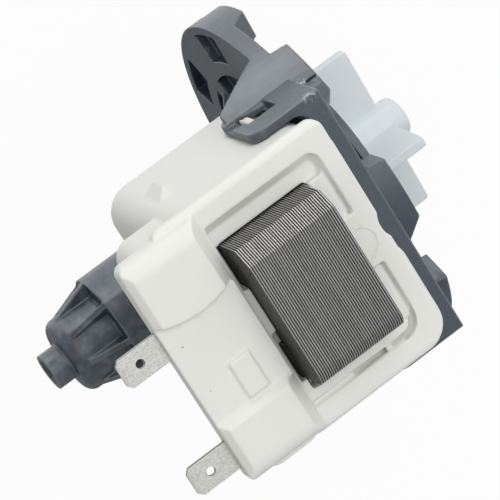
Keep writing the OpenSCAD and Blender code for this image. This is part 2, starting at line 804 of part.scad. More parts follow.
// Small ramped catch on the arm side's wall
module side_catch() translate([catch_x, body_y, 0]) intersection() {
    along_z(catch_z, catch_z + catch_h) polygon([[0, -1], [catch_len, -1], [catch_len, catch_t], [0, 0]]);
    along_x(-1, catch_len + 1) polygon([
        [-1, catch_z], [catch_t, catch_z], [catch_t, catch_z + catch_h / 2], [-1, catch_z + catch_h]]);
}

// Snap nub that fills the rear of an arm's window
module snap_nub() along_z(window_z + 1, window_z + window_h - 1) polygon([
    [window_x - stack_x + 0.6, body_y - 2], [window_x - stack_x + 3.2, body_y - 2],
    [window_x - stack_x + 0.6, body_y + arm_t]]);

// Space for one coil and its bobbin
module coil_space(side) translate([0, side * leg_y, coil_z - mould_gap])
    translate([-coil_x - mould_gap, -coil_y - mould_gap, 0])
        cube([2 * (coil_x + mould_gap), 2 * (coil_y + mould_gap), coil_h + 2 * mould_gap]);

// Hole for one leg of the core
module leg_space(side) translate([-stack_len / 2 - core_gap, side * leg_y - leg_w / 2 - core_gap, body_z - 1])
    cube([stack_len + 2 * core_gap, leg_w + 2 * core_gap, seat_z - body_z + 2]);

// Resin moulding that seals the coils and carries the terminals
module coil_overmould() color(ivory) at_stack() difference() {
    union() {
        mould_body();
        terminal_block();
        side_catch();
        both_sides() snap_nub();
    }
    difference() {
        yoke_recess();
        recess_bridge();
        front_collar();
    }
    far_groove();
    ejector_mark();
    bridge_pockets();
    for (side = [-1, 1]) {
        coil_space(side);
        leg_space(side);
    }
    for (y = tab_places) terminal_blank(y, mould_gap / 2);
    cutout_blank(mould_gap);
}

// Bobbin: a square tube with a flange at each end
module bobbin(side) at_stack() translate([0, side * leg_y, coil_z]) difference() {
    union() {
        along_z(0, coil_h) span(-tube_x, tube_x, -tube_y, tube_y);
        for (z = [0, coil_h - bobbin_wall]) along_z(z, z + bobbin_wall) span(-coil_x, coil_x, -coil_y, coil_y);
    }
    along_z(-1, coil_h + 1) span(bobbin_wall - tube_x, tube_x - bobbin_wall, bobbin_wall - tube_y, tube_y - bobbin_wall);
}
module left_bobbin() color(amber) bobbin(1);
module right_bobbin() color(amber) bobbin(-1);

// Wound coil: a ring with rounded corners between the bobbin's flanges
module winding(side) at_stack() translate([0, side * leg_y, coil_z]) difference() {
    grow = coil_build - flange_edge;
    along_z(bobbin_wall, coil_h - bobbin_wall)
        round_span(-tube_x - grow, tube_x + grow, -tube_y - grow, tube_y + grow, grow);
    along_z(0, coil_h) span(-tube_x, tube_x, -tube_y, tube_y);
}
module left_winding() color(copper) winding(1);
module right_winding() color(copper) winding(-1);

// Push-on tab with chamfered corners, seated in the block
tab_places = [tab_spacing / 2 - tab_offset, -tab_spacing / 2 - tab_offset];
module tab_plan() {
    end = block_back - tab_out;
    polygon([[end, tab_chamfer - tab_w / 2], [end + tab_chamfer, -tab_w / 2], [block_back + tab_in, -tab_w / 2],
             [block_back + tab_in, tab_w / 2], [end + tab_chamfer, tab_w / 2], [end, tab_w / 2 - tab_chamfer]]);
}
module terminal_blank(y, gap) translate([0, y, 0])
    along_z(tab_z - gap, tab_z + tab_t + gap)
        span(block_back - 1, block_back + tab_in + gap, -tab_w / 2 - gap, tab_w / 2 + gap);
module terminal(y) at_stack() translate([0, y, 0]) along_z(tab_z, tab_z + tab_t) difference() {
    tab_plan();
    translate([block_back - tab_out + tab_hole_x, 0]) circle(tab_hole / 2);
}
module left_terminal() color(tin) terminal(tab_places[0]);
module right_terminal() color(tin) terminal(tab_places[1]);

// Thermal cut-out, sealed in the tier under the shelf
module cutout_blank(gap) along_y(-cutout_w / 2 - gap, cutout_w / 2 + gap)
    span(block_back + tier_setback + cutout_back - gap, -body_x - 1 + gap,
         shelf_z - cutout_cover - cutout_h - gap, shelf_z - cutout_cover + gap);
module thermal_cutout() color(rubber) at_stack() cutout_blank(0);

// Holder that closes the can and seats the front bush, its cushion and the shaft seal
seal_t = 2.2;
seal_back = holder_front - seal_t;
module bearing_holder() color(slate) around_x() difference() {
    union() {
        span(0, bore_r, -holder_len, holder_front);
        span(0, chamber_r - 0.2, -cup_depth, holder_front);
    }
    span(-1, cushion_r, -holder_len - 1, bush_len - holder_len);
    span(-1, cushion_r, holder_front - seal_t, holder_front + 1);
    span(-1, shaft_r + 1.2, -holder_len, holder_front);
}

// Bearing bush and the rubber cushion round it
module bush(from) tube(bush_r, running_r, from, from + bush_len);
module front_bush() color(amber) bush(front_bush_x);
module front_cushion() color(rubber) tube(cushion_r, bush_r, front_bush_x, front_bush_x + bush_len);
module rear_bush() color(amber) bush(rear_bush_x - bush_len);
module rear_cushion() color(rubber) tube(tail_bore, bush_r, rear_bush_x - bush_len, rear_bush_x);

// Lip seal in front of the front bush
module shaft_seal() color(rubber) around_x() polygon([
    [cushion_r, seal_back], [cushion_r, holder_front], [cushion_r - 1.2, holder_front],
    [cushion_r - 1.2, seal_back + 0.8], [running_r + 1, seal_back + 0.8],
    [running_r + 0.6, holder_front - 0.3], [running_r, holder_front - 0.3], [running_r, seal_back]]);

// Rotor shaft with rounded ends
module rotor_shaft() color(tin) around_x() {
    tip = 0.5;
    span(0, shaft_r, shaft_back + tip, shaft_front - tip);
    span(0, shaft_r - tip, shaft_back, shaft_front);
    for (x = [shaft_back + tip, shaft_front - tip]) translate([shaft_r - tip, x]) circle(tip);
}

// Ring magnet
module rotor_magnet() color(ferrite) tube(magnet_r, magnet_bore, magnet_back, magnet_front);

// Moulded carrier: core, two end discs and the long rear sleeve
module magnet_carrier() color(amber) around_x() {
    span(shaft_r, magnet_bore, magnet_back, magnet_front);
    for (x = [magnet_back - disc_t, magnet_front]) span(shaft_r, disc_r, x, x + disc_t);
    span(shaft_r, sleeve_r, sleeve_back, magnet_back);
}

// Thrust washers beside the bushes
module front_washer() color(tin) tube(washer_r, shaft_r, front_disc_x, front_disc_x + washer_t);
module rear_washer() color(tin) tube(washer_r, shaft_r, sleeve_back - washer_t, sleeve_back);

// Driving dog on the shaft
module drive_dog() color(amber) along_x(dog_x, dog_x + dog_len) {
    ring(dog_hub_r, shaft_r);
    sector(dog_tip_r, dog_hub_r - bite, dog_angle, blade_turn);
}

// One blade, drawn as radius and X
module blade_profile() {
    span(drum_bore + 0.4, blade_r - blade_round, drum_x, blade_front);
    span(drum_bore + 0.4, blade_r, drum_x + blade_round, blade_front - blade_round);
    for (x = [drum_x + blade_round, blade_front - blade_round])
        translate([blade_r - blade_round, x]) circle(blade_round);
    span(nose_r - 1, drum_r, drum_front - 0.4, blade_front);
}

// Impeller: coupling drum, nose and flat blades, with the driven tooth inside the drum
module impeller() color(frost) {
    around_x() {
        span(drum_bore, drum_r, drum_x, drum_front);
        span(running_r, drum_r, drum_floor, drum_front);
        span(running_r, nose_r, drum_front - bite, shaft_front + end_float);
        span(0, nose_r, shaft_front + end_float, nose_tip - nose_round);
        span(0, nose_r - nose_round, nose_tip - nose_round - bite, nose_tip);
        translate([nose_r - nose_round, nose_tip - nose_round]) circle(nose_round);
    }
    along_x(dog_x, drum_floor + bite) sector(drum_bore + bite, tooth_root_r, tooth_angle, tooth_turn);
    for (i = [0 : blade_count - 1]) rotate([i * 360 / blade_count + blade_turn, 0, 0])
        translate([0, 0, -blade_t / 2]) linear_extrude(blade_t) mirror([1, -1]) blade_profile();
}

// Ring that closes the rear of the coupling drum
module coupling_cover() color(frost) tube(drum_bore, tooth_root_r, drum_x, drum_x + cover_t);

// Rubber pads on both flanks of the driven tooth
module dog_dampers() color(rubber) along_x(dog_x, drum_floor)
    for (side = [-1, 1])
        sector(drum_bore, tooth_root_r, damper_angle, tooth_turn + side * (tooth_angle + damper_angle) / 2);

rotor_housing();
spigot_seal();
lamination_stack();
core_rivets();
coil_overmould();
left_bobbin();
right_bobbin();
left_winding();
right_winding();
left_terminal();
right_terminal();
thermal_cutout();
bearing_holder();
front_bush();
front_cushion();
rear_bush();
rear_cushion();
shaft_seal();
rotor_shaft();
rotor_magnet();
magnet_carrier();
front_washer();
rear_washer();
drive_dog();
impeller();
coupling_cover();
dog_dampers();
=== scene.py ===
import json
import math

import bmesh
import bpy
from mathutils import Matrix, Vector

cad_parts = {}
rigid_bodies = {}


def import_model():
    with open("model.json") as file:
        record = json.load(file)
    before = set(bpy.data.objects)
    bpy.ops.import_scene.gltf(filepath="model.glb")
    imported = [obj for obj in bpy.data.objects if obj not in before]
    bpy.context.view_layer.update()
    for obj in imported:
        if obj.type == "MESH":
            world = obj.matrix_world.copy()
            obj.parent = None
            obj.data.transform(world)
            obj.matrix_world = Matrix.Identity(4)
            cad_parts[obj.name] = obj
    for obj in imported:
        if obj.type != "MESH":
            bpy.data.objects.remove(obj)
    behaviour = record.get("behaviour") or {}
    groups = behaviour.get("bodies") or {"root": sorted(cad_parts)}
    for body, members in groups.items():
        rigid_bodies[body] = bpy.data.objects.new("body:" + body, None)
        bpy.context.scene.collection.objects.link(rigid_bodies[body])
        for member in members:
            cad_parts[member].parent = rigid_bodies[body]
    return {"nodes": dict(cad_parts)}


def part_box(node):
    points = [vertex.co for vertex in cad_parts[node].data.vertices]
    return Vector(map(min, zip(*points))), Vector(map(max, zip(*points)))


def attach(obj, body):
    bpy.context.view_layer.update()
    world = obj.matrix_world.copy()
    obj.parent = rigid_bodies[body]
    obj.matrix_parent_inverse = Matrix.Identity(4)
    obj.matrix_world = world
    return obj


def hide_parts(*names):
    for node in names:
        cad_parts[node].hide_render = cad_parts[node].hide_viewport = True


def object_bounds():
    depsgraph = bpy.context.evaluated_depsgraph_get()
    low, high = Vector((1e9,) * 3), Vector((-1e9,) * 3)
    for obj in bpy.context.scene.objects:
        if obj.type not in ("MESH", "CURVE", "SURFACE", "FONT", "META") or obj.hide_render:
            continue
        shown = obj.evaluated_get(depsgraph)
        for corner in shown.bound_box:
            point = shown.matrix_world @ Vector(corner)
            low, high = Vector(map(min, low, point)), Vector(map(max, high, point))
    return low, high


bl_info = {
    "name": "Washer drain pump",
    "version": (1, 0, 0),
    "blender": (4, 5, 0),
    "location": "View3D > Sidebar > Pump",
    "description": "Dresses the drain pump's solids with soft mouldings, sheet stack and finishes",
    "category": "Object",
}

for startup_object in list(bpy.data.objects):
    bpy.data.objects.remove(startup_object)
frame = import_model()
CAD_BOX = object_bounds()

# Lengths are in metres, and MM turns a millimetre into metres
MM = 0.001


def mm(*lengths):
    """A place or a size given in millimetres."""
    return Vector(lengths) * MM


# Photograph's camera: 500 pixels wide on a 36 mm sensor
CAMERA_PLACE = mm(-164.055, 220.690, 649.541)
CAMERA_FORWARD = Vector((0.20568, -0.32056, -0.92463))
CAMERA_RIGHT = Vector((0.78571, -0.50916, 0.35130))
CAMERA_LENS = 249.95
SENSOR_WIDTH = 36.0
CAMERA_REACH = 20.0

# Stator core outline, across the rotor axis
CORE_HALF = 16.65 * MM
CORE_TOP = 59.9 * MM
CORE_SEAT = 48.6 * MM
CORE_FOOT = -14.0 * MM
CORE_CHAMFER = 3.3 * MM
YOKE_FAR = 14.6 * MM
YOKE_ROUND = 3.3 * MM
YOKE_STEPS = 8
CORE_WINDOW = 7.0 * MM
POLE_GAP = 4.0 * MM
POLE_RADIUS = 11.9 * MM
POLE_STEPS = 24
RIVET_PLACE = mm(0.0, 11.825, 54.25)
RIVET_RADIUS = 1.5 * MM
HOLE_STEPS = 20
# Set-back of the dark film, which paints the shade in the gaps between sheets
FILM_INSET = 0.35 * MM

# Slit across the outside of one lug, and the chipped spots near it
LUG_RADIUS = 39.4 * MM
SLIT_ANGLE = math.radians(48.0)
SLIT_LOW = mm(1.1, -0.35, -0.9)
SLIT_HIGH = mm(4.4, 0.35, 1.0)
CHIPS = [(mm(0.5, 26.9, 28.8), 1.5 * MM), (mm(-3.4, 28.3, 42.8), 2.2 * MM)]
# Paler spots on the arm's shoulder and on the tail's nub: chalky wear, and painted light where the lamp
# catches them
CHALK_AND_LIGHT = [(mm(-4.0, 31.0, 22.0), 22.0 * MM), (mm(-66.0, 2.0, 2.5), 7.0 * MM)]
# Blotchy dust on the bearing tail
TAIL_DUST = (mm(-58.0, 5.0, 7.0), 30.0 * MM)

# Flush round ejector mark in front of the yoke, with a fine raised line round it
MARK_PLACE = mm(-12.1, 0.8, 51.0)
MARK_RADIUS = 3.3 * MM
MARK_LINE = 0.09 * MM
MARK_STEPS = 48
MARK_PLUG = (mm(-14.4, -2.7, 49.5), mm(-8.5, 4.3, 51.0))

# Groove that goes round the yoke's front far corner
CORNER_GROOVE = [
    mm(-11.0, -14.5, 50.9), mm(-11.0, -16.0, 50.9), mm(-11.3, -17.6, 50.9), mm(-12.3, -18.9, 50.9),
    mm(-13.7, -19.5, 50.9), mm(-15.6, -19.5, 51.0), mm(-18.0, -19.5, 51.3), mm(-21.0, -19.5, 52.1)]
GROOVE_RADIUS = 0.95 * MM
# Deeper end of the groove beside the yoke's far wall
DEEP_GROOVE = [
    mm(-31.0, -19.3, 51.8), mm(-27.5, -19.3, 50.9), mm(-24.0, -19.3, 50.2), mm(-21.0, -19.3, 50.05),
    mm(-18.7, -19.3, 50.05)]
DEEP_RADIUS = 0.83 * MM

# Snap nub behind each arm's window, and the hollow in front of it
NUB = (mm(-14.3, 24.0, 28.6), mm(-12.3, 27.7, 34.2))
POCKET = (mm(-12.7, 23.7, 28.2), mm(-8.0, 26.4, 34.6))

# Post between the terminal block and the stack, the block's square edge and the slot's closed end
POST = (mm(-36.8, -2.9, 46.0), mm(-34.9, 7.2, 51.0))
BLOCK_EDGE = (mm(-39.0, -11.0, 49.5), mm(-37.0, 11.0, 52.75))
SLOT_END = (mm(-36.8, -18.0, 46.0), mm(-34.9, -14.3, 50.9))
# Square pad on the terminal block
PAD = (mm(-46.5, -9.5, 52.0), mm(-42.0, -1.7, 53.65))

# Level direction toward the main lamp, where the paper looks brightest in gloss
KEY_SIDE = Vector((0.58, 0.81, 0.0))
AMBIENT = 0.57
# Range of height and of side over which the paper's gloss sets in, and its strength at both ends
GLOSS_HEIGHT = (0.05, -0.25)
GLOSS_SIDE = (-0.25, 0.3)
GLOSS_STRENGTH = (-0.14, 0.95)
# Place in metres, width and power of each lamp
LAMPS = {
    "key_softbox": ((0.2, 0.89, 0.125), 0.3, 2.05),
    "top_softbox": ((0.12, 0.26, 0.85), 0.9, 3.6),
}
# Share of plain white that each kind of ray sees in the floor
SEEN_SHARES = {"Is Camera Ray": 0.96, "Is Transmission Ray": 0.5}
FLOOR_RADIUS = 4.0
FLOOR_SIDES = 96
PAPER = (0.5, 0.5, 0.5)
PALE_PAPER = (0.54, 0.54, 0.54)
SKY = (0.97, 0.985, 1.0, 1.0)
WHITE = (1.0, 1.0, 1.0, 1.0)

# Worn, dusty and dirty tones of the finishes, some with light or shade painted in: a painted highlight
# on the housing's worn edges, painted light on its chalky spots, and painted shade in the gaps between
# the core's sheets
WORN_EDGE_AND_HIGHLIGHT = (0.13, 0.16, 0.18)
CHALK_AND_LIGHT_TONE = (0.11, 0.138, 0.15)
DUST_TONE = (0.095, 0.118, 0.135)
CHIP_TONE = (0.42, 0.44, 0.45)
YELLOWED = (0.56, 0.52, 0.40)
DIRT = (0.20, 0.18, 0.14)
PALE_DIRT = (0.36, 0.33, 0.26)
VARNISH_AND_GAP_SHADE = (0.022, 0.021, 0.018)
DUSTY_VARNISH_AND_GAP_SHADE = (0.085, 0.082, 0.072)
# Height of one turn of wire, and how far a turn strays
WIRE_TURN = 0.12 * MM
WIRE_STRAY = 0.1 * MM

# Triangles that the softened mouldings are thinned to
HOUSING_TRIANGLES = 180000
RESIN_TRIANGLES = 150000
WHEEL_TRIANGLES = 120000
# Pull of one smoothing round, and weight of large faces in the shading
EDGE_PULL = 0.5
WALL_WEIGHT = 60
# Fineness of a round bar, across and along
BAR_SIDES = 3
BAR_STEPS = 6
# Seed of the sheets' offsets and tones
SHEET_SEED = 7
# Edges of a sheet that turn by more than this are punched edges, and get a burr
PUNCHED = 1.0
# A sheet's face whose normal runs this far along the row is a flat side
FLAT_SIDE = 0.9
# Edges that turn by less than these are not real ones
SHEET_LEVEL = 0.01
TAB_LEVEL = 0.02
# Edges of a tab that are rounded, those that stay crisp, and the share its end is thinned by
TAB_ROUNDED = math.radians(25)
TAB_CRISP = math.radians(40)
TAB_THINNING = 0.5

# Joins the loose triangles of a solid's mesh
MERGE = 1e-7
# Triangles thinner than this are slivers left by a cut
SLIVER = 3e-6
# Edges that turn by more than this stay crisp
SHARP = math.radians(60.0)
# A tab's face whose normal points up or down by less than this belongs to its rim
FLAT = 0.95


class PumpSizes(bpy.types.PropertyGroup):
    """Sizes that a user would change."""

    housing_grid: bpy.props.FloatProperty(
        name="Housing grid", description="Cell size that softens the housing's edges",
        default=0.17 * MM, min=0.15 * MM, max=0.6 * MM, unit="LENGTH", precision=5)
    housing_rounds: bpy.props.IntProperty(
        name="Housing softness", description="Smoothing rounds on the housing's edges",
        default=6, min=1, max=12)
    resin_grid: bpy.props.FloatProperty(
        name="Overmould grid", description="Cell size that softens the overmould's edges",
        default=0.25 * MM, min=0.2 * MM, max=0.6 * MM, unit="LENGTH", precision=5)
    resin_rounds: bpy.props.IntProperty(
        name="Overmould softness", description="Smoothing rounds on the overmould's edges",
        default=6, min=1, max=20)
    wheel_grid: bpy.props.FloatProperty(
        name="Impeller grid", description="Cell size that softens the impeller's edges",
        default=0.22 * MM, min=0.15 * MM, max=0.5 * MM, unit="LENGTH", precision=5)
    wheel_rounds: bpy.props.IntProperty(
        name="Impeller softness", description="Smoothing rounds on the impeller's edges",
        default=4, min=1, max=12)
    sheet_count: bpy.props.IntProperty(
        name="Sheets", description="Laminations in the stator core", default=40, min=10, max=60)
    sheet_steel: bpy.props.FloatProperty(
        name="Sheet thickness", description="Bare steel of one lamination",
        default=0.27 * MM, min=0.2 * MM, max=0.6 * MM, unit="LENGTH", precision=5)
    sheet_burr: bpy.props.FloatProperty(
        name="Sheet edge", description="Rounding of a lamination's punched edges",
        default=0.05 * MM, min=0.01 * MM, max=0.15 * MM, unit="LENGTH", precision=5)
    sheet_jitter: bpy.props.FloatProperty(
        name="Sheet offset", description="How far the laminations stand out of line",
        default=0.012 * MM, min=0.0, max=0.2 * MM, unit="LENGTH", precision=5)
    tab_taper: bpy.props.FloatProperty(
        name="Tab lead-in", description="Length of the thinned end of a push-on tab",
        default=1.0 * MM, min=0.2 * MM, max=2.0 * MM, unit="LENGTH", precision=5)
    tab_edge: bpy.props.FloatProperty(
        name="Tab edge", description="Rounding of a push-on tab's edges",
        default=0.18 * MM, min=0.02 * MM, max=0.3 * MM, unit="LENGTH", precision=5)


class PumpColours(bpy.types.PropertyGroup):
    """Colours that a user would change."""

    slate: bpy.props.FloatVectorProperty(
        name="Slate", description="Grey moulded plastic of the housing",
        default=(0.019, 0.034, 0.050), min=0.0, max=1.0, subtype="COLOR")
    resin: bpy.props.FloatVectorProperty(
        name="Resin", description="Off-white resin round the coils",
        default=(0.81, 0.81, 0.755), min=0.0, max=1.0, subtype="COLOR")
    steel: bpy.props.FloatVectorProperty(
        name="Core steel", description="Cut edges of the laminations",
        default=(0.49, 0.482, 0.468), min=0.0, max=1.0, subtype="COLOR")
    tin: bpy.props.FloatVectorProperty(
        name="Tin", description="Tinned brass of the tabs",
        default=(0.70, 0.695, 0.65), min=0.0, max=1.0, subtype="COLOR")
    frost: bpy.props.FloatVectorProperty(
        name="Frost", description="Milky plastic of the impeller",
        default=(0.86, 0.905, 0.92), min=0.0, max=1.0, subtype="COLOR")
    rubber: bpy.props.FloatVectorProperty(
        name="Rubber", description="Seals, cushions and dampers",
        default=(0.018, 0.018, 0.019), min=0.0, max=1.0, subtype="COLOR")
    copper: bpy.props.FloatVectorProperty(
        name="Copper", description="Enamelled wire of the coils",
        default=(0.46, 0.17, 0.07), min=0.0, max=1.0, subtype="COLOR")
    former: bpy.props.FloatVectorProperty(
        name="Former", description="Amber plastic of the bobbins and the rotor's carrier",
        default=(0.62, 0.50, 0.26), min=0.0, max=1.0, subtype="COLOR")
    bronze: bpy.props.FloatVectorProperty(
        name="Bronze", description="Sintered bearing bushes",
        default=(0.45, 0.28, 0.12), min=0.0, max=1.0, subtype="COLOR")
    ferrite: bpy.props.FloatVectorProperty(
        name="Ferrite", description="Rotor magnet",
        default=(0.045, 0.045, 0.048), min=0.0, max=1.0, subtype="COLOR")


class Value:
    """A node's output that takes part in Python arithmetic."""

    def __init__(self, graph, socket):
        self.graph = graph
        self.socket = socket

    def reckon(self, operation, first, second):
        return self.graph.node("ShaderNodeMath", {"operation": operation}, {0: first, 1: second})

    def __add__(self, other):
        return self.reckon("ADD", self, other)

    def __radd__(self, other):
        return self.reckon("ADD", other, self)

    def __sub__(self, other):
        return self.reckon("SUBTRACT", self, other)

    def __rsub__(self, other):
        return self.reckon("SUBTRACT", other, self)

    def __mul__(self, other):
        return self.reckon("MULTIPLY", self, other)

    def __rmul__(self, other):
        return self.reckon("MULTIPLY", other, self)

    def __truediv__(self, other):
        return self.reckon("DIVIDE", self, other)


class Graph:
    """A node tree built one node at a time."""

    def __init__(self, tree):
        self.tree = tree
        self.tree.nodes.clear()

    def node(self, kind, settings=None, inputs=None, output=0):
        """Adds a node: its settings first, then the values or links of its sockets."""
        made = self.tree.nodes.new(kind)
        for name, setting in (settings or {}).items():
            setattr(made, name, setting)
        for place, given in (inputs or {}).items():
            if isinstance(given, Value):
                self.tree.links.new(given.socket, made.inputs[place])
            else:
                made.inputs[place].default_value = given
        if not made.outputs:
            return None
        return Value(self, made.outputs[output])

    def ramp(self, value, low, high, to_low=0.0, to_high=1.0):
        return self.node("ShaderNodeMapRange", {"interpolation_type": "SMOOTHSTEP"}, {
            "Value": value, "From Min": low, "From Max": high, "To Min": to_low, "To Max": to_high})


class Finish(Graph):
    """A material: patterns on Object coordinates that feed one shader."""

    def __init__(self, name):
        self.material = bpy.data.materials.new(name)
        self.material.use_nodes = True
        super().__init__(self.material.node_tree)
        self.place = self.node("ShaderNodeTexCoord", output="Object")

    def mapped(self, scale):
        return self.node("ShaderNodeMapping", inputs={"Vector": self.place, "Scale": scale})

    def noise(self, scale, detail=3.0, place=None):
        return self.node("ShaderNodeTexNoise", inputs={
            "Vector": place or self.place, "Scale": scale, "Detail": detail, "Roughness": 0.55})

    def specks(self, scale, radius, share):
        """Scattered round specks: 1 inside a speck, in a share of the cells."""
        cells = {"Vector": self.place, "Scale": scale}
        near = self.node("ShaderNodeTexVoronoi", {"feature": "F1"}, cells, "Distance")
        pick = self.node("ShaderNodeTexVoronoi", {"feature": "F1"}, cells, "Color")
        tone = self.node("ShaderNodeSeparateColor", inputs={0: pick})
        return self.ramp(near, radius, radius * 0.55) * self.ramp(tone, share, share * 0.9)

    def mix(self, factor, first, second):
        """Colour between two colours; a plain triple is a colour."""
        colours = [c if isinstance(c, Value) else (*c[:3], 1.0) for c in (first, second)]
        inputs = {0: factor, 6: colours[0], 7: colours[1]}
        return self.node("ShaderNodeMix", {"data_type": "RGBA"}, inputs, 2)

    def near(self, spot, reach):
        """1 at a spot, falling to 0 at its reach."""
        ends = {0: self.place, 1: spot}
        away = self.node("ShaderNodeVectorMath", {"operation": "DISTANCE"}, ends, "Value")
        return self.ramp(away, reach, 0.0)

    def edges(self, low, high):
        """1 on outer edges and 0 on flat walls; a falling range picks inner corners."""
        return self.ramp(self.node("ShaderNodeNewGeometry", output="Pointiness"), low, high)

    def bump(self, height, depth, strength=1.0):
        return self.node("ShaderNodeBump", inputs={
            "Strength": strength, "Distance": depth, "Height": height})

    def shader(self, **sockets):
        inputs = {name.replace("_", " "): given for name, given in sockets.items()}
        return self.node("ShaderNodeBsdfPrincipled", inputs=inputs)

    def done(self, surface):
        self.node("ShaderNodeOutputMaterial", inputs={"Surface": surface})
        return self.material


def shade(colour, factor):
    """A colour times a factor."""
    return tuple(channel * factor for channel in colour)


def slate_plastic(colours):
    """Grey moulded plastic: faint flow marks, fine grain, dust, paler worn edges with a painted
    highlight, painted shade in inner corners and painted light on chalky spots.
    """
    finish = Finish("slate_plastic")
    flow = finish.noise(60.0, 3.0)
    mottle = finish.noise(520.0, 4.0)
    grain = finish.noise(3600.0, 2.0)
    scuffs = finish.ramp(finish.noise(1.0, 3.0, finish.mapped((260.0, 1700.0, 900.0))), 0.64, 0.72)
    base = finish.mix(flow * 0.6 + mottle * 0.4, shade(colours.slate, 0.85), shade(colours.slate, 1.18))
    base = finish.mix(scuffs * 0.1, base, shade(colours.slate, 2.6))
    dust = finish.ramp(finish.noise(1500.0, 3.0), 0.45, 0.62)
    base = finish.mix(dust * 0.2, base, shade(colours.slate, 2.6))
    # Paler outer edges: wear, and a painted highlight where the edges catch the light
    base = finish.mix(finish.edges(0.504, 0.54) * (mottle * 0.7 + 0.35), base, WORN_EDGE_AND_HIGHLIGHT)
    # Painted shade: inner corners darkened to a shaded copy of the slate
    base = finish.mix(finish.edges(0.48, 0.42) * 0.6, base, shade(colours.slate, 0.4))
    base = finish.mix(finish.specks(900.0, 0.16, 0.07) * 0.4, base, shade(colours.slate, 5.0))
    # Paler spots: chalky wear and painted light
    for spot, reach in CHALK_AND_LIGHT:
        base = finish.mix(finish.near(spot, reach) * (mottle * 0.5 + 0.35), base, CHALK_AND_LIGHT_TONE)
    blotch = finish.noise(360.0, 5.0)
    dusty = finish.near(*TAIL_DUST)
    base = finish.mix(dusty * finish.ramp(blotch, 0.48, 0.64) * 0.7, base, DUST_TONE)
    base = finish.mix(dusty * finish.ramp(blotch, 0.5, 0.38) * 0.6, base, shade(colours.slate, 0.5))
    flecks = finish.ramp(finish.noise(1400.0, 3.0), 0.5, 0.6)
    for spot, reach in CHIPS:
        base = finish.mix(finish.near(spot, reach) * flecks, base, CHIP_TONE)
    return finish.done(finish.shader(
        Base_Color=base,
        Specular_IOR_Level=1.0,
        Roughness=0.36 + mottle * 0.14 + scuffs * 0.08,
        Normal=finish.bump(grain * 0.4 + dust * 0.3 + mottle * 0.3, 0.014 * MM, 0.6)))


def resin_white(colours):
    """Off-white resin: cloudy tone, sparse dirt specks, yellowed edges and painted shade in inner
    corners.
    """
    finish = Finish("resin_white")
    cloud = finish.noise(45.0, 3.0)
    mottle = finish.noise(380.0, 4.0)
    grain = finish.noise(2600.0, 2.0)
    stain = finish.ramp(finish.noise(130.0, 4.0), 0.56, 0.74)
    tone = cloud * 0.6 + mottle * 0.4
    base = finish.mix(tone, shade(colours.resin, 0.95), shade(colours.resin, 1.04))
    base = finish.mix(finish.edges(0.52, 0.6) * stain * 0.35, base, YELLOWED)
    # Painted shade: inner corners darkened to a shaded copy of the resin
    base = finish.mix(finish.edges(0.488, 0.42) * 0.65, base, shade(colours.resin, 0.4))
    base = finish.mix(finish.specks(210.0, 0.055, 0.10) * 0.75, base, DIRT)
    base = finish.mix(finish.specks(620.0, 0.09, 0.05) * 0.45, base, PALE_DIRT)
    return finish.done(finish.shader(
        Base_Color=base,
        Roughness=0.46 + mottle * 0.12,
        Normal=finish.bump(grain * 0.4 + mottle * 0.6, 0.04 * MM, 0.5)))


def core_steel(colours):
    """Punched sheet edges, each with its own tone and scratches, between dark varnished faces, whose
    near-black tone is also painted shade for the gaps between sheets.
    """
    finish = Finish("core_steel")
    tone = finish.node("ShaderNodeAttribute", {"attribute_name": "sheet_tone"}, output="Fac")
    streak = finish.noise(1.0, 3.0, finish.mapped((4000.0, 260.0, 700.0)))
    base = finish.mix(tone * 0.3 + streak * 0.5, shade(colours.steel, 0.6), shade(colours.steel, 1.2))
    varnish = finish.node("ShaderNodeAttribute", {"attribute_name": "varnish"}, output="Fac")
    grit = finish.ramp(finish.noise(1500.0, 4.0), 0.35, 0.7)
    # Near-black coat: the sheets' varnish, and painted shade in the gaps between sheets
    coat_and_gap_shade = finish.mix(grit, VARNISH_AND_GAP_SHADE, DUSTY_VARNISH_AND_GAP_SHADE)
    return finish.done(finish.shader(
        Base_Color=finish.mix(varnish, base, coat_and_gap_shade),
        Metallic=0.9 - varnish * 0.9,
        Roughness=0.3 + streak * 0.2 + varnish * 0.2,
        Normal=finish.bump(streak, 0.03 * MM, 0.5)))


def oiled_steel(colours):
    """Rivet ends under the same dark varnish as the sheets."""
    finish = Finish("oiled_steel")
    grit = finish.noise(1500.0, 4.0)
    base = finish.mix(grit, shade(colours.steel, 0.06), shade(colours.steel, 0.2))
    return finish.done(finish.shader(
        Base_Color=base,
        Metallic=0.3,
        Roughness=0.45 + grit * 0.15,
        Normal=finish.bump(grit, 0.03 * MM, 0.5)))


def tinned_brass(colours):
    """Dull tin with a fine rolled grain, small pits and painted shade on the faces along its edges."""
    finish = Finish("tinned_brass")
    roll = finish.noise(1.0, 3.0, finish.mapped((700.0, 2600.0, 2600.0)))
    grain = finish.noise(3600.0, 3.0)
    pits = finish.specks(1900.0, 0.22, 0.16)
    tone = finish.ramp(grain, 0.3, 0.7) * 0.7 + roll * 0.3
    base = finish.mix(tone, shade(colours.tin, 0.72), shade(colours.tin, 1.15))
    base = finish.mix(pits * 0.6, base, shade(colours.tin, 0.35))
    # Painted shade: faces along the tab's edges darkened
    rim = finish.node("ShaderNodeAttribute", {"attribute_name": "rim"}, output="Fac")
    base = finish.mix(rim * 0.75, base, shade(colours.tin, 0.25))
    return finish.done(finish.shader(
        Base_Color=base,
        Metallic=0.8,
        Roughness=0.36 + grain * 0.22,
        Normal=finish.bump(grain * 0.7 + roll * 0.3, 0.05 * MM, 0.6)))


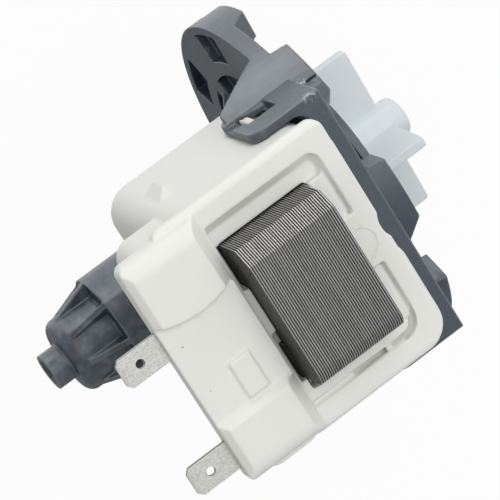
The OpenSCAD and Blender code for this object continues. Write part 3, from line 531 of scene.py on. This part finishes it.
def frosted_plastic(colours):
    """Milky plastic that lets light through."""
    finish = Finish("frosted_plastic")
    cloud = finish.noise(120.0, 3.0)
    grain = finish.noise(2200.0, 2.0)
    base = finish.mix(cloud, shade(colours.frost, 0.95), shade(colours.frost, 1.05))
    skin = finish.shader(
        Base_Color=base,
        Roughness=0.38 + grain * 0.1,
        Normal=finish.bump(grain, 0.02 * MM, 0.4))
    through = finish.node("ShaderNodeBsdfTranslucent", inputs={0: (*colours.frost, 1.0)})
    return finish.done(finish.node("ShaderNodeMixShader", inputs={0: 0.3, 1: skin, 2: through}))


def black_rubber(colours):
    """Matt rubber with a fine bloom."""
    finish = Finish("black_rubber")
    bloom = finish.noise(700.0, 4.0)
    base = finish.mix(bloom, shade(colours.rubber, 0.8), shade(colours.rubber, 1.8))
    return finish.done(finish.shader(
        Base_Color=base,
        Roughness=0.62 + bloom * 0.2,
        Normal=finish.bump(bloom, 0.03 * MM, 0.5)))


def enamelled_wire(colours):
    """Wound wire: turns stacked up the coil, with a varnish coat, a painted highlight on each turn's
    crest and painted shade between turns.
    """
    finish = Finish("enamelled_wire")
    wobble = finish.noise(300.0, 2.0)
    height = finish.node("ShaderNodeSeparateXYZ", inputs={0: finish.place}, output="Z")
    strayed = height + wobble * WIRE_STRAY
    turns = finish.node("ShaderNodeMath", {"operation": "PINGPONG"}, {0: strayed, 1: WIRE_TURN})
    crest = turns / WIRE_TURN
    # Painted highlight on the crests and painted shade between the turns
    base = finish.mix(crest, shade(colours.copper, 0.55), shade(colours.copper, 1.25))
    return finish.done(finish.shader(
        Base_Color=base,
        Metallic=0.7,
        Roughness=0.28 + wobble * 0.15,
        Normal=finish.bump(crest, 0.08 * MM, 0.8)))


def plain_former(colours):
    """Amber moulded plastic with flow marks."""
    finish = Finish("plain_former")
    flow = finish.noise(160.0, 4.0)
    base = finish.mix(flow, shade(colours.former, 0.85), shade(colours.former, 1.12))
    return finish.done(finish.shader(
        Base_Color=base,
        Roughness=0.4 + flow * 0.15,
        Normal=finish.bump(flow, 0.03 * MM, 0.4)))


def sintered_bronze(colours):
    """Porous bearing metal."""
    finish = Finish("sintered_bronze")
    pores = finish.specks(2600.0, 0.3, 0.5)
    tone = finish.noise(900.0, 3.0)
    base = finish.mix(tone, shade(colours.bronze, 0.8), shade(colours.bronze, 1.15))
    base = finish.mix(pores * 0.6, base, shade(colours.bronze, 0.3))
    return finish.done(finish.shader(
        Base_Color=base,
        Metallic=0.85,
        Roughness=0.4 + pores * 0.2,
        Normal=finish.bump(1.0 - pores, 0.03 * MM, 0.5)))


def ground_steel(colours):
    """Ground shaft and washers, with fine rings round the axis."""
    finish = Finish("ground_steel")
    rings = finish.noise(1.0, 2.0, finish.mapped((5000.0, 120.0, 120.0)))
    base = finish.mix(rings, shade(colours.tin, 0.75), shade(colours.tin, 1.05))
    return finish.done(finish.shader(
        Base_Color=base,
        Metallic=1.0,
        Roughness=0.2 + rings * 0.15,
        Normal=finish.bump(rings, 0.01 * MM, 0.4)))


def sintered_ferrite(colours):
    """Dark ceramic magnet with a speckled, ground skin."""
    finish = Finish("sintered_ferrite")
    grain = finish.noise(1800.0, 4.0)
    base = finish.mix(grain, shade(colours.ferrite, 0.7), shade(colours.ferrite, 1.7))
    return finish.done(finish.shader(
        Base_Color=base,
        Roughness=0.42 + grain * 0.2,
        Normal=finish.bump(grain, 0.02 * MM, 0.5)))


FINISHES = {
    "housing": slate_plastic,
    "resin": resin_white,
    "lamination": core_steel,
    "rivet": oiled_steel,
    "tin": tinned_brass,
    "copper": enamelled_wire,
    "former": plain_former,
    "rubber": black_rubber,
    "bronze": sintered_bronze,
    "shaft_steel": ground_steel,
    "ferrite": sintered_ferrite,
    "frost": frosted_plastic,
}
made_finishes = {}


def finish_for(slot):
    """The material of a slot, made once."""
    if slot not in made_finishes:
        made_finishes[slot] = FINISHES[slot](bpy.context.scene.pump_colours)
    return made_finishes[slot]


def link(piece):
    bpy.context.scene.collection.objects.link(piece)
    return piece


def new_piece(name, mesh):
    return link(bpy.data.objects.new(name, mesh))


def bake_shape(piece):
    """Turns a piece's modifiers into its plain mesh."""
    graph = bpy.context.evaluated_depsgraph_get()
    mesh = bpy.data.meshes.new_from_object(piece.evaluated_get(graph))
    piece.modifiers.clear()
    piece.data = mesh
    return piece


def dress(piece, slot, body, *nodes):
    """Gives a finished piece its material and its body, and hides the nodes that it stands for."""
    if not piece.data.polygons:
        raise RuntimeError(piece.name + " has no faces")
    piece.data.materials.clear()
    piece.data.materials.append(finish_for(slot))
    piece.data.shade_smooth()
    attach(piece, body)
    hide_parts(*nodes)


def dress_nodes(slots):
    """Gives CAD nodes that stay their finish."""
    for slot, nodes in slots.items():
        for node in nodes:
            materials = frame["nodes"][node].data.materials
            if not materials:
                materials.append(None)
            for place in range(len(materials)):
                materials[place] = finish_for(slot)


def merged_copy(node, name):
    """Copy of a solid's mesh with its loose triangles joined."""
    shell = bmesh.new()
    shell.from_mesh(frame["nodes"][node].data)
    bmesh.ops.remove_doubles(shell, verts=shell.verts, dist=MERGE)
    mesh = bpy.data.meshes.new(name)
    shell.to_mesh(mesh)
    shell.free()
    return new_piece(name, mesh)


def soften(piece, grid, rounds, triangles):
    """Rounds every edge of a moulding a little, as its tool does."""
    remesh = piece.modifiers.new("grid", "REMESH")
    remesh.mode = "VOXEL"
    remesh.voxel_size = grid
    smooth = piece.modifiers.new("soft edges", "SMOOTH")
    smooth.factor = EDGE_PULL
    smooth.iterations = rounds
    bake_shape(piece)
    count = sum(len(face.vertices) - 2 for face in piece.data.polygons)
    thin = piece.modifiers.new("thinned flats", "DECIMATE")
    thin.ratio = min(1.0, triangles / count)
    return bake_shape(piece)


def settle(piece, crisp):
    """Shades flat walls flat, and keeps edges sharp that turn by more than an angle."""
    piece.data.shade_smooth()
    piece.data.set_sharp_from_angle(angle=crisp)
    walls = piece.modifiers.new("flat walls", "WEIGHTED_NORMAL")
    walls.weight = WALL_WEIGHT
    walls.keep_sharp = True
    return bake_shape(piece)


def bar(name, spine, radius, closed):
    """Round bar along a line of points."""
    curve = bpy.data.curves.new(name, "CURVE")
    curve.dimensions = "3D"
    curve.bevel_depth = radius
    curve.bevel_resolution = BAR_SIDES
    curve.use_fill_caps = True
    line = curve.splines.new("NURBS")
    line.points.add(len(spine) - 1)
    for point, place in zip(line.points, spine):
        point.co = (*place, 1.0)
    line.use_cyclic_u = closed
    line.use_endpoint_u = not closed
    line.resolution_u = BAR_STEPS
    drawn = new_piece(name, curve)
    graph = bpy.context.evaluated_depsgraph_get()
    mesh = bpy.data.meshes.new_from_object(drawn.evaluated_get(graph))
    bpy.data.objects.remove(drawn)
    return new_piece(name, mesh)


def mirrored(tool):
    """Turns a tool into its twin on the far side of the pump."""
    tool.data.transform(Matrix.Diagonal((1.0, -1.0, 1.0, 1.0)))
    tool.data.flip_normals()
    return tool


def block(name, low, high):
    """Box between two corners, used to shape a moulding."""
    shell = bmesh.new()
    bmesh.ops.create_cube(shell, size=1.0)
    size = Vector(high) - Vector(low)
    middle = (Vector(high) + Vector(low)) / 2
    matrix = Matrix.Translation(middle) @ Matrix.Diagonal((*size, 1.0))
    bmesh.ops.transform(shell, verts=shell.verts, matrix=matrix)
    mesh = bpy.data.meshes.new(name)
    shell.to_mesh(mesh)
    shell.free()
    return new_piece(name, mesh)


def carve(piece, tool, operation):
    """Cuts a tool out of a finished moulding, or welds it on, and removes the tool."""
    step = piece.modifiers.new("carve", "BOOLEAN")
    step.operation = operation
    step.solver = "EXACT"
    step.object = tool
    bake_shape(piece)
    bpy.data.objects.remove(tool)


def clean(piece):
    """Removes the slivers that cuts leave."""
    shell = bmesh.new()
    shell.from_mesh(piece.data)
    bmesh.ops.triangulate(shell, faces=shell.faces)
    bmesh.ops.dissolve_degenerate(shell, dist=SLIVER, edges=shell.edges)
    bmesh.ops.triangulate(shell, faces=shell.faces)
    shell.to_mesh(piece.data)
    shell.free()


def weld(piece):
    """Joins points that a cut left almost on top of each other."""
    shell = bmesh.new()
    shell.from_mesh(piece.data)
    bmesh.ops.remove_doubles(shell, verts=shell.verts, dist=SLIVER)
    shell.to_mesh(piece.data)
    shell.free()


def join(piece, tool):
    """Adds a tool to a moulding before it is softened, and removes the tool."""
    shell = bmesh.new()
    shell.from_mesh(piece.data)
    shell.from_mesh(tool.data)
    shell.to_mesh(piece.data)
    shell.free()
    bpy.data.objects.remove(tool)


class PUMP_OT_stage(bpy.types.Operator):
    """Floor, soft studio light and the photograph's camera"""

    bl_idname = "pump.stage"
    bl_label = "Stage"

    def execute(self, context):
        self.floor()
        self.light(context.scene)
        self.camera(context.scene)
        context.scene.view_settings.view_transform = "Standard"
        return {"FINISHED"}

    def floor(self):
        shell = bmesh.new()
        bmesh.ops.create_circle(shell, cap_ends=True, segments=FLOOR_SIDES, radius=FLOOR_RADIUS)
        bmesh.ops.translate(shell, verts=shell.verts, vec=(0.0, 0.0, CAD_BOX[0].z))
        mesh = bpy.data.meshes.new("floor")
        shell.to_mesh(mesh)
        shell.free()
        floor = new_piece("floor", mesh)
        paper = Finish("floor_paper")
        fibre = paper.noise(900.0, 3.0)
        lit = paper.shader(Base_Color=paper.mix(fibre, PAPER, PALE_PAPER), Roughness=0.9)
        glow = paper.node("ShaderNodeEmission", inputs={"Color": WHITE, "Strength": 1.0})
        mesh.materials.append(paper.done(
            paper.node("ShaderNodeMixShader", inputs={0: self.seen_rays(paper), 1: lit, 2: glow})))
        floor.visible_glossy = False

    def seen_rays(self, paper):
        """Share of plain white that a ray sees: most for the camera, none for light."""
        seen = 0.0
        for kind, share in SEEN_SHARES.items():
            seen = paper.node("ShaderNodeLightPath", output=kind) * share + seen
        return seen

    def light(self, scene):
        world = bpy.data.worlds.new("studio")
        scene.world = world
        world.use_nodes = True
        graph = Graph(world.node_tree)
        camera_ray = graph.node("ShaderNodeLightPath", output="Is Camera Ray")
        around = graph.node("ShaderNodeBackground", inputs={0: SKY, 1: self.glow(graph)})
        white = graph.node("ShaderNodeBackground", inputs={0: WHITE, 1: 1.0})
        sky = graph.node("ShaderNodeMixShader", inputs={0: camera_ray, 1: around, 2: white})
        graph.node("ShaderNodeOutputWorld", inputs={0: sky})
        self.lamps()

    def glow(self, graph):
        """Strength of the surroundings: even, but in gloss the paper is bright toward the lamp."""
        toward = graph.node("ShaderNodeTexCoord", output="Generated")
        height = graph.node("ShaderNodeSeparateXYZ", inputs={0: toward}, output="Z")
        ends = {0: toward, 1: KEY_SIDE}
        side = graph.node("ShaderNodeVectorMath", {"operation": "DOT_PRODUCT"}, ends, "Value")
        paper = graph.ramp(height, *GLOSS_HEIGHT) * graph.ramp(side, *GLOSS_SIDE, *GLOSS_STRENGTH)
        return graph.node("ShaderNodeLightPath", output="Is Glossy Ray") * paper + AMBIENT

    def lamps(self):
        for name, (place, size, power) in LAMPS.items():
            lamp = bpy.data.lights.new(name, "AREA")
            lamp.shape = "DISK"
            lamp.size = size
            lamp.energy = power
            holder = link(bpy.data.objects.new(name, lamp))
            holder.visible_camera = False
            holder.location = place
            holder.rotation_euler = (-Vector(place)).to_track_quat("-Z", "Y").to_euler()

    def camera(self, scene):
        eye = bpy.data.cameras.new("photograph_view")
        eye.lens = CAMERA_LENS
        eye.sensor_width = SENSOR_WIDTH
        eye.clip_end = CAMERA_REACH
        holder = link(bpy.data.objects.new("photograph_view", eye))
        up = CAMERA_RIGHT.cross(CAMERA_FORWARD)
        turn = Matrix((CAMERA_RIGHT, up, -CAMERA_FORWARD)).transposed()
        holder.matrix_world = Matrix.Translation(CAMERA_PLACE) @ turn.to_4x4()
        scene.camera = holder


class PUMP_OT_housing(bpy.types.Operator):
    """Moulded housing with soft edges"""

    bl_idname = "pump.housing"
    bl_label = "Rotor housing"

    def execute(self, context):
        sizes = context.scene.pump_sizes
        housing = merged_copy("rotor_housing", "housing_moulding")
        soften(housing, sizes.housing_grid, sizes.housing_rounds, HOUSING_TRIANGLES)
        slit = block("lug_slit", SLIT_LOW, SLIT_HIGH)
        reach = (LUG_RADIUS * math.cos(SLIT_ANGLE), LUG_RADIUS * math.sin(SLIT_ANGLE))
        outward = Vector((0.0, *reach))
        turn = Matrix.Rotation(SLIT_ANGLE - 0.5 * math.pi, 4, "X")
        slit.data.transform(Matrix.Translation(outward) @ turn)
        carve(housing, slit, "DIFFERENCE")
        settle(housing, SHARP)
        dress(housing, "housing", "motor_body", "rotor_housing")
        return {"FINISHED"}


class PUMP_OT_overmould(bpy.types.Operator):
    """Resin moulding round the coils, with soft edges"""

    bl_idname = "pump.overmould"
    bl_label = "Coil overmould"

    def execute(self, context):
        sizes = context.scene.pump_sizes
        resin = merged_copy("coil_overmould", "coil_moulding")
        join(resin, block("mark_plug", *MARK_PLUG))
        added = {"post": POST, "block_edge": BLOCK_EDGE, "slot_end": SLOT_END, "pad": PAD}
        for name, corners in added.items():
            join(resin, block(name, *corners))
        join(resin, block("near_nub", *NUB))
        join(resin, mirrored(block("far_nub", *NUB)))
        soften(resin, sizes.resin_grid, sizes.resin_rounds, RESIN_TRIANGLES)
        carve(resin, block("near_pocket", *POCKET), "DIFFERENCE")
        carve(resin, mirrored(block("far_pocket", *POCKET)), "DIFFERENCE")
        carve(resin, bar("corner_groove", CORNER_GROOVE, GROOVE_RADIUS, False), "DIFFERENCE")
        carve(resin, bar("deep_groove", DEEP_GROOVE, DEEP_RADIUS, False), "DIFFERENCE")
        clean(resin)
        turns = [2 * math.pi * i / MARK_STEPS for i in range(MARK_STEPS)]
        ring = [MARK_PLACE + Vector((math.cos(a), math.sin(a), 0.0)) * MARK_RADIUS for a in turns]
        carve(resin, bar("mark_line", ring, MARK_LINE, True), "UNION")
        weld(resin)
        settle(resin, SHARP)
        dress(resin, "resin", "motor_body", "coil_overmould")
        return {"FINISHED"}


class PUMP_OT_core(bpy.types.Operator):
    """Stack of laminations, repeated along the rotor axis"""

    bl_idname = "pump.core"
    bl_label = "Lamination stack"

    def execute(self, context):
        sizes = context.scene.pump_sizes
        low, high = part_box("lamination_stack")
        pitch = (high.x - low.x) / sizes.sheet_count
        stack = new_piece("core_sheets", self.sheet(sizes, pitch))
        rule = self.rule(finish_for("lamination"))
        maker = stack.modifiers.new("sheets", "NODES")
        maker.node_group = rule
        values = {
            "Sheets": sizes.sheet_count,
            "Pitch": pitch,
            "Middle": (low.x + high.x) / 2,
            "Offset": sizes.sheet_jitter,
            "Seed": SHEET_SEED,
        }
        for item in rule.interface.items_tree:
            if item.item_type == "SOCKET" and item.name in values:
                maker[item.identifier] = values[item.name]
        bake_shape(stack)
        dress(stack, "lamination", "motor_body", "lamination_stack")
        stack.data.shade_flat()
        dress_nodes({"rivet": ["core_rivets"]})
        return {"FINISHED"}

    def outline(self):
        """Corners of one sheet: a U whose feet clasp the can."""
        start = math.asin(POLE_GAP / POLE_RADIUS)
        end = math.pi - math.asin(CORE_WINDOW / POLE_RADIUS)
        arc = [start + (end - start) * i / POLE_STEPS for i in range(POLE_STEPS + 1)]
        half = [(POLE_GAP, CORE_FOOT)]
        half += [(POLE_RADIUS * math.sin(a), -POLE_RADIUS * math.cos(a)) for a in arc]
        half += [(CORE_WINDOW, CORE_SEAT)]
        inner_left = [(-y, z) for y, z in half]
        turns = [0.5 * math.pi * i / YOKE_STEPS for i in range(YOKE_STEPS + 1)]
        far = [(-CORE_HALF, CORE_FOOT), (-CORE_HALF, CORE_SEAT), (-YOKE_FAR, CORE_SEAT)]
        far += [
            (-YOKE_FAR + YOKE_ROUND * (1.0 - math.cos(a)), CORE_TOP - YOKE_ROUND * (1.0 - math.sin(a)))
            for a in turns]
        near = [(CORE_HALF - CORE_CHAMFER, CORE_TOP), (CORE_HALF, CORE_TOP - CORE_CHAMFER)]
        near += [(CORE_HALF, CORE_FOOT)]
        return far + near + half + inner_left[::-1]

    def plate(self, start, thick, inset):
        """Flat plate of the core's outline, set back from its edges by an inset."""
        shell = bmesh.new()
        loops = [self.outline()]
        turns = [2 * math.pi * i / HOLE_STEPS for i in range(HOLE_STEPS)]
        for middle in (-RIVET_PLACE.y, RIVET_PLACE.y):
            loops.append([
                (middle + RIVET_RADIUS * math.cos(a), RIVET_PLACE.z + RIVET_RADIUS * math.sin(a))
                for a in turns])
        for loop in loops:
            points = [shell.verts.new((start, y, z)) for y, z in loop]
            for i, point in enumerate(points):
                shell.edges.new((points[i - 1], point))
        bmesh.ops.triangle_fill(shell, use_beauty=True, edges=shell.edges)
        bmesh.ops.dissolve_limit(shell, angle_limit=SHEET_LEVEL, verts=shell.verts, edges=shell.edges)
        if inset:
            border = bmesh.ops.inset_region(
                shell, faces=shell.faces[:], thickness=inset, use_boundary=True, use_even_offset=True)
            bmesh.ops.delete(shell, geom=border["faces"], context="FACES")
        front = bmesh.ops.extrude_face_region(shell, geom=shell.faces[:])
        moved = [v for v in front["geom"] if isinstance(v, bmesh.types.BMVert)]
        bmesh.ops.translate(shell, verts=moved, vec=(thick, 0.0, 0.0))
        bmesh.ops.recalc_face_normals(shell, faces=shell.faces)
        return shell

    def sheet(self, sizes, pitch):
        """One steel sheet with burred edges, and the varnish film in front of it, a dark plate that
        also paints the shade in the gap between sheets.
        """
        steel = self.plate(-pitch / 2, sizes.sheet_steel, 0.0)
        borders = [e for e in steel.edges if len(e.link_faces) == 2 and e.calc_face_angle() > PUNCHED
                   and abs(e.verts[0].co.x - e.verts[1].co.x) < MERGE]
        bmesh.ops.bevel(steel, geom=borders, offset=sizes.sheet_burr, segments=1, affect="EDGES")
        film = self.plate(sizes.sheet_steel - pitch / 2, pitch - sizes.sheet_steel, FILM_INSET)
        mesh = bpy.data.meshes.new("core_sheet")
        for shell in (film, steel):
            shell.normal_update()
            varnish = shell.faces.layers.float.new("varnish")
            for face in shell.faces:
                face[varnish] = float(shell is film or abs(face.normal.x) > FLAT_SIDE)
        film.to_mesh(mesh)
        steel.from_mesh(mesh)
        steel.to_mesh(mesh)
        film.free()
        steel.free()
        return mesh

    def rule(self, material):
        """Tree that sets sheets in a row, each a little out of line and with its own tone."""
        tree = bpy.data.node_groups.new("sheet_row", "GeometryNodeTree")
        face = tree.interface
        face.new_socket("Geometry", in_out="INPUT", socket_type="NodeSocketGeometry")
        face.new_socket("Sheets", in_out="INPUT", socket_type="NodeSocketInt")
        for name in ("Pitch", "Middle", "Offset"):
            face.new_socket(name, in_out="INPUT", socket_type="NodeSocketFloat")
        face.new_socket("Seed", in_out="INPUT", socket_type="NodeSocketInt")
        face.new_socket("Geometry", in_out="OUTPUT", socket_type="NodeSocketGeometry")
        graph = Graph(tree)
        given = {name: graph.node("NodeGroupInput", output=name)
                 for name in ("Geometry", "Sheets", "Pitch", "Middle", "Offset", "Seed")}
        pitch = given["Pitch"]
        first = given["Middle"] - pitch * (given["Sheets"] - 1.0) * 0.5
        line = graph.node("GeometryNodeMeshLine", {"mode": "OFFSET"}, {
            "Count": given["Sheets"],
            "Start Location": graph.node("ShaderNodeCombineXYZ", inputs={0: first}),
            "Offset": graph.node("ShaderNodeCombineXYZ", inputs={0: pitch})})
        reach = given["Offset"]
        back = 0.0 - reach
        slip = graph.node("FunctionNodeRandomValue", {"data_type": "FLOAT_VECTOR"}, {
            0: graph.node("ShaderNodeCombineXYZ", inputs={1: back, 2: back}),
            1: graph.node("ShaderNodeCombineXYZ", inputs={1: reach, 2: reach}),
            "Seed": given["Seed"]})
        row = graph.node("GeometryNodeSetPosition", inputs={"Geometry": line, "Offset": slip})
        copies = graph.node("GeometryNodeInstanceOnPoints", inputs={
            "Points": row, "Instance": given["Geometry"]})
        next_seed = given["Seed"] + 1.0
        tone = graph.node("FunctionNodeRandomValue", {"data_type": "FLOAT"}, {"Seed": next_seed}, 1)
        per_sheet = {"data_type": "FLOAT", "domain": "INSTANCE"}
        toned = graph.node("GeometryNodeStoreNamedAttribute", per_sheet, {
            "Geometry": copies, "Name": "sheet_tone", "Value": tone})
        solid = graph.node("GeometryNodeRealizeInstances", inputs={0: toned})
        clad = graph.node("GeometryNodeSetMaterial", inputs={"Geometry": solid, "Material": material})
        graph.node("NodeGroupOutput", inputs={0: clad})
        return tree


class PUMP_OT_tabs(bpy.types.Operator):
    """Two push-on tabs with thinned ends and detent holes"""

    bl_idname = "pump.tabs"
    bl_label = "Push-on tabs"

    def execute(self, context):
        sizes = context.scene.pump_sizes
        for side in ("left", "right"):
            node = side + "_terminal"
            tab = merged_copy(node, side + "_tab")
            self.thin_end(tab.data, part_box(node), sizes.tab_taper)
            edge = tab.modifiers.new("edges", "BEVEL")
            edge.width = sizes.tab_edge
            edge.segments = 2
            edge.limit_method = "ANGLE"
            edge.angle_limit = TAB_ROUNDED
            bake_shape(tab)
            settle(tab, TAB_CRISP)
            self.mark_rim(tab.data)
            dress(tab, "tin", "motor_body", node)
        return {"FINISHED"}

    def mark_rim(self, mesh):
        """Notes the faces along a tab's edges, on which its finish paints shade."""
        rim = mesh.attributes.new("rim", "FLOAT", "FACE")
        for face in mesh.polygons:
            rim.data[face.index].value = float(abs(face.normal.z) < FLAT)

    def thin_end(self, mesh, box, taper):
        low, high = box
        shell = bmesh.new()
        shell.from_mesh(mesh)
        bmesh.ops.dissolve_limit(shell, angle_limit=TAB_LEVEL, verts=shell.verts, edges=shell.edges)
        cut_x = low.x + taper
        bmesh.ops.bisect_plane(
            shell, geom=shell.verts[:] + shell.edges[:] + shell.faces[:],
            plane_co=(cut_x, 0.0, 0.0), plane_no=(1.0, 0.0, 0.0), dist=MERGE)
        middle = (low.z + high.z) / 2
        for point in shell.verts:
            if point.co.x < cut_x - MERGE:
                share = (cut_x - point.co.x) / taper
                point.co.z = middle + (point.co.z - middle) * (1.0 - TAB_THINNING * share)
        shell.to_mesh(mesh)
        shell.free()


class PUMP_OT_impeller(bpy.types.Operator):
    """Milky impeller with soft edges and its coupling"""

    bl_idname = "pump.impeller"
    bl_label = "Impeller"

    def execute(self, context):
        sizes = context.scene.pump_sizes
        wheel = merged_copy("impeller", "blade_wheel")
        soften(wheel, sizes.wheel_grid, sizes.wheel_rounds, WHEEL_TRIANGLES)
        settle(wheel, SHARP)
        dress(wheel, "frost", "impeller", "impeller")
        dress_nodes({"frost": ["coupling_cover"], "rubber": ["dog_dampers"]})
        return {"FINISHED"}


class PUMP_OT_rotor(bpy.types.Operator):
    """Rotor: shaft, magnet, carrier, washers and driving dog"""

    bl_idname = "pump.rotor"
    bl_label = "Rotor"

    def execute(self, context):
        dress_nodes({
            "shaft_steel": ["rotor_shaft", "front_washer", "rear_washer"],
            "ferrite": ["rotor_magnet"],
            "former": ["magnet_carrier", "drive_dog"],
        })
        return {"FINISHED"}


class PUMP_OT_bearings(bpy.types.Operator):
    """Bearing holder, bushes, cushions and seals"""

    bl_idname = "pump.bearings"
    bl_label = "Bearings and seals"

    def execute(self, context):
        dress_nodes({
            "housing": ["bearing_holder"],
            "bronze": ["front_bush", "rear_bush"],
            "rubber": ["front_cushion", "rear_cushion", "shaft_seal", "spigot_seal"],
        })
        return {"FINISHED"}


class PUMP_OT_coils(bpy.types.Operator):
    """Sealed coils, bobbins and thermal cut-out"""

    bl_idname = "pump.coils"
    bl_label = "Coils"

    def execute(self, context):
        dress_nodes({
            "copper": ["left_winding", "right_winding"],
            "former": ["thermal_cutout", "left_bobbin", "right_bobbin"],
        })
        return {"FINISHED"}


class PUMP_PT_panel(bpy.types.Panel):
    """Lists the pump's pieces, sizes and colours"""

    bl_idname = "PUMP_PT_panel"
    bl_label = "Drain pump"
    bl_space_type = "VIEW_3D"
    bl_region_type = "UI"
    bl_category = "Pump"

    def draw(self, context):
        for operator in OPERATORS:
            self.layout.operator(operator.bl_idname)
        for group in (context.scene.pump_sizes, context.scene.pump_colours):
            for name in group.__annotations__:
                self.layout.prop(group, name)


OPERATORS = (
    PUMP_OT_stage,
    PUMP_OT_housing,
    PUMP_OT_overmould,
    PUMP_OT_core,
    PUMP_OT_tabs,
    PUMP_OT_impeller,
    PUMP_OT_rotor,
    PUMP_OT_bearings,
    PUMP_OT_coils,
)
CLASSES = (PumpSizes, PumpColours, *OPERATORS, PUMP_PT_panel)


def register():
    for made in CLASSES:
        bpy.utils.register_class(made)
    bpy.types.Scene.pump_sizes = bpy.props.PointerProperty(type=PumpSizes)
    bpy.types.Scene.pump_colours = bpy.props.PointerProperty(type=PumpColours)


def unregister():
    del bpy.types.Scene.pump_colours
    del bpy.types.Scene.pump_sizes
    for made in reversed(CLASSES):
        bpy.utils.unregister_class(made)


def main():
    register()
    for step in (
            bpy.ops.pump.stage, bpy.ops.pump.housing, bpy.ops.pump.overmould, bpy.ops.pump.core,
            bpy.ops.pump.tabs, bpy.ops.pump.impeller, bpy.ops.pump.rotor, bpy.ops.pump.bearings,
            bpy.ops.pump.coils):
        step()


if __name__ == "__main__":
    main()
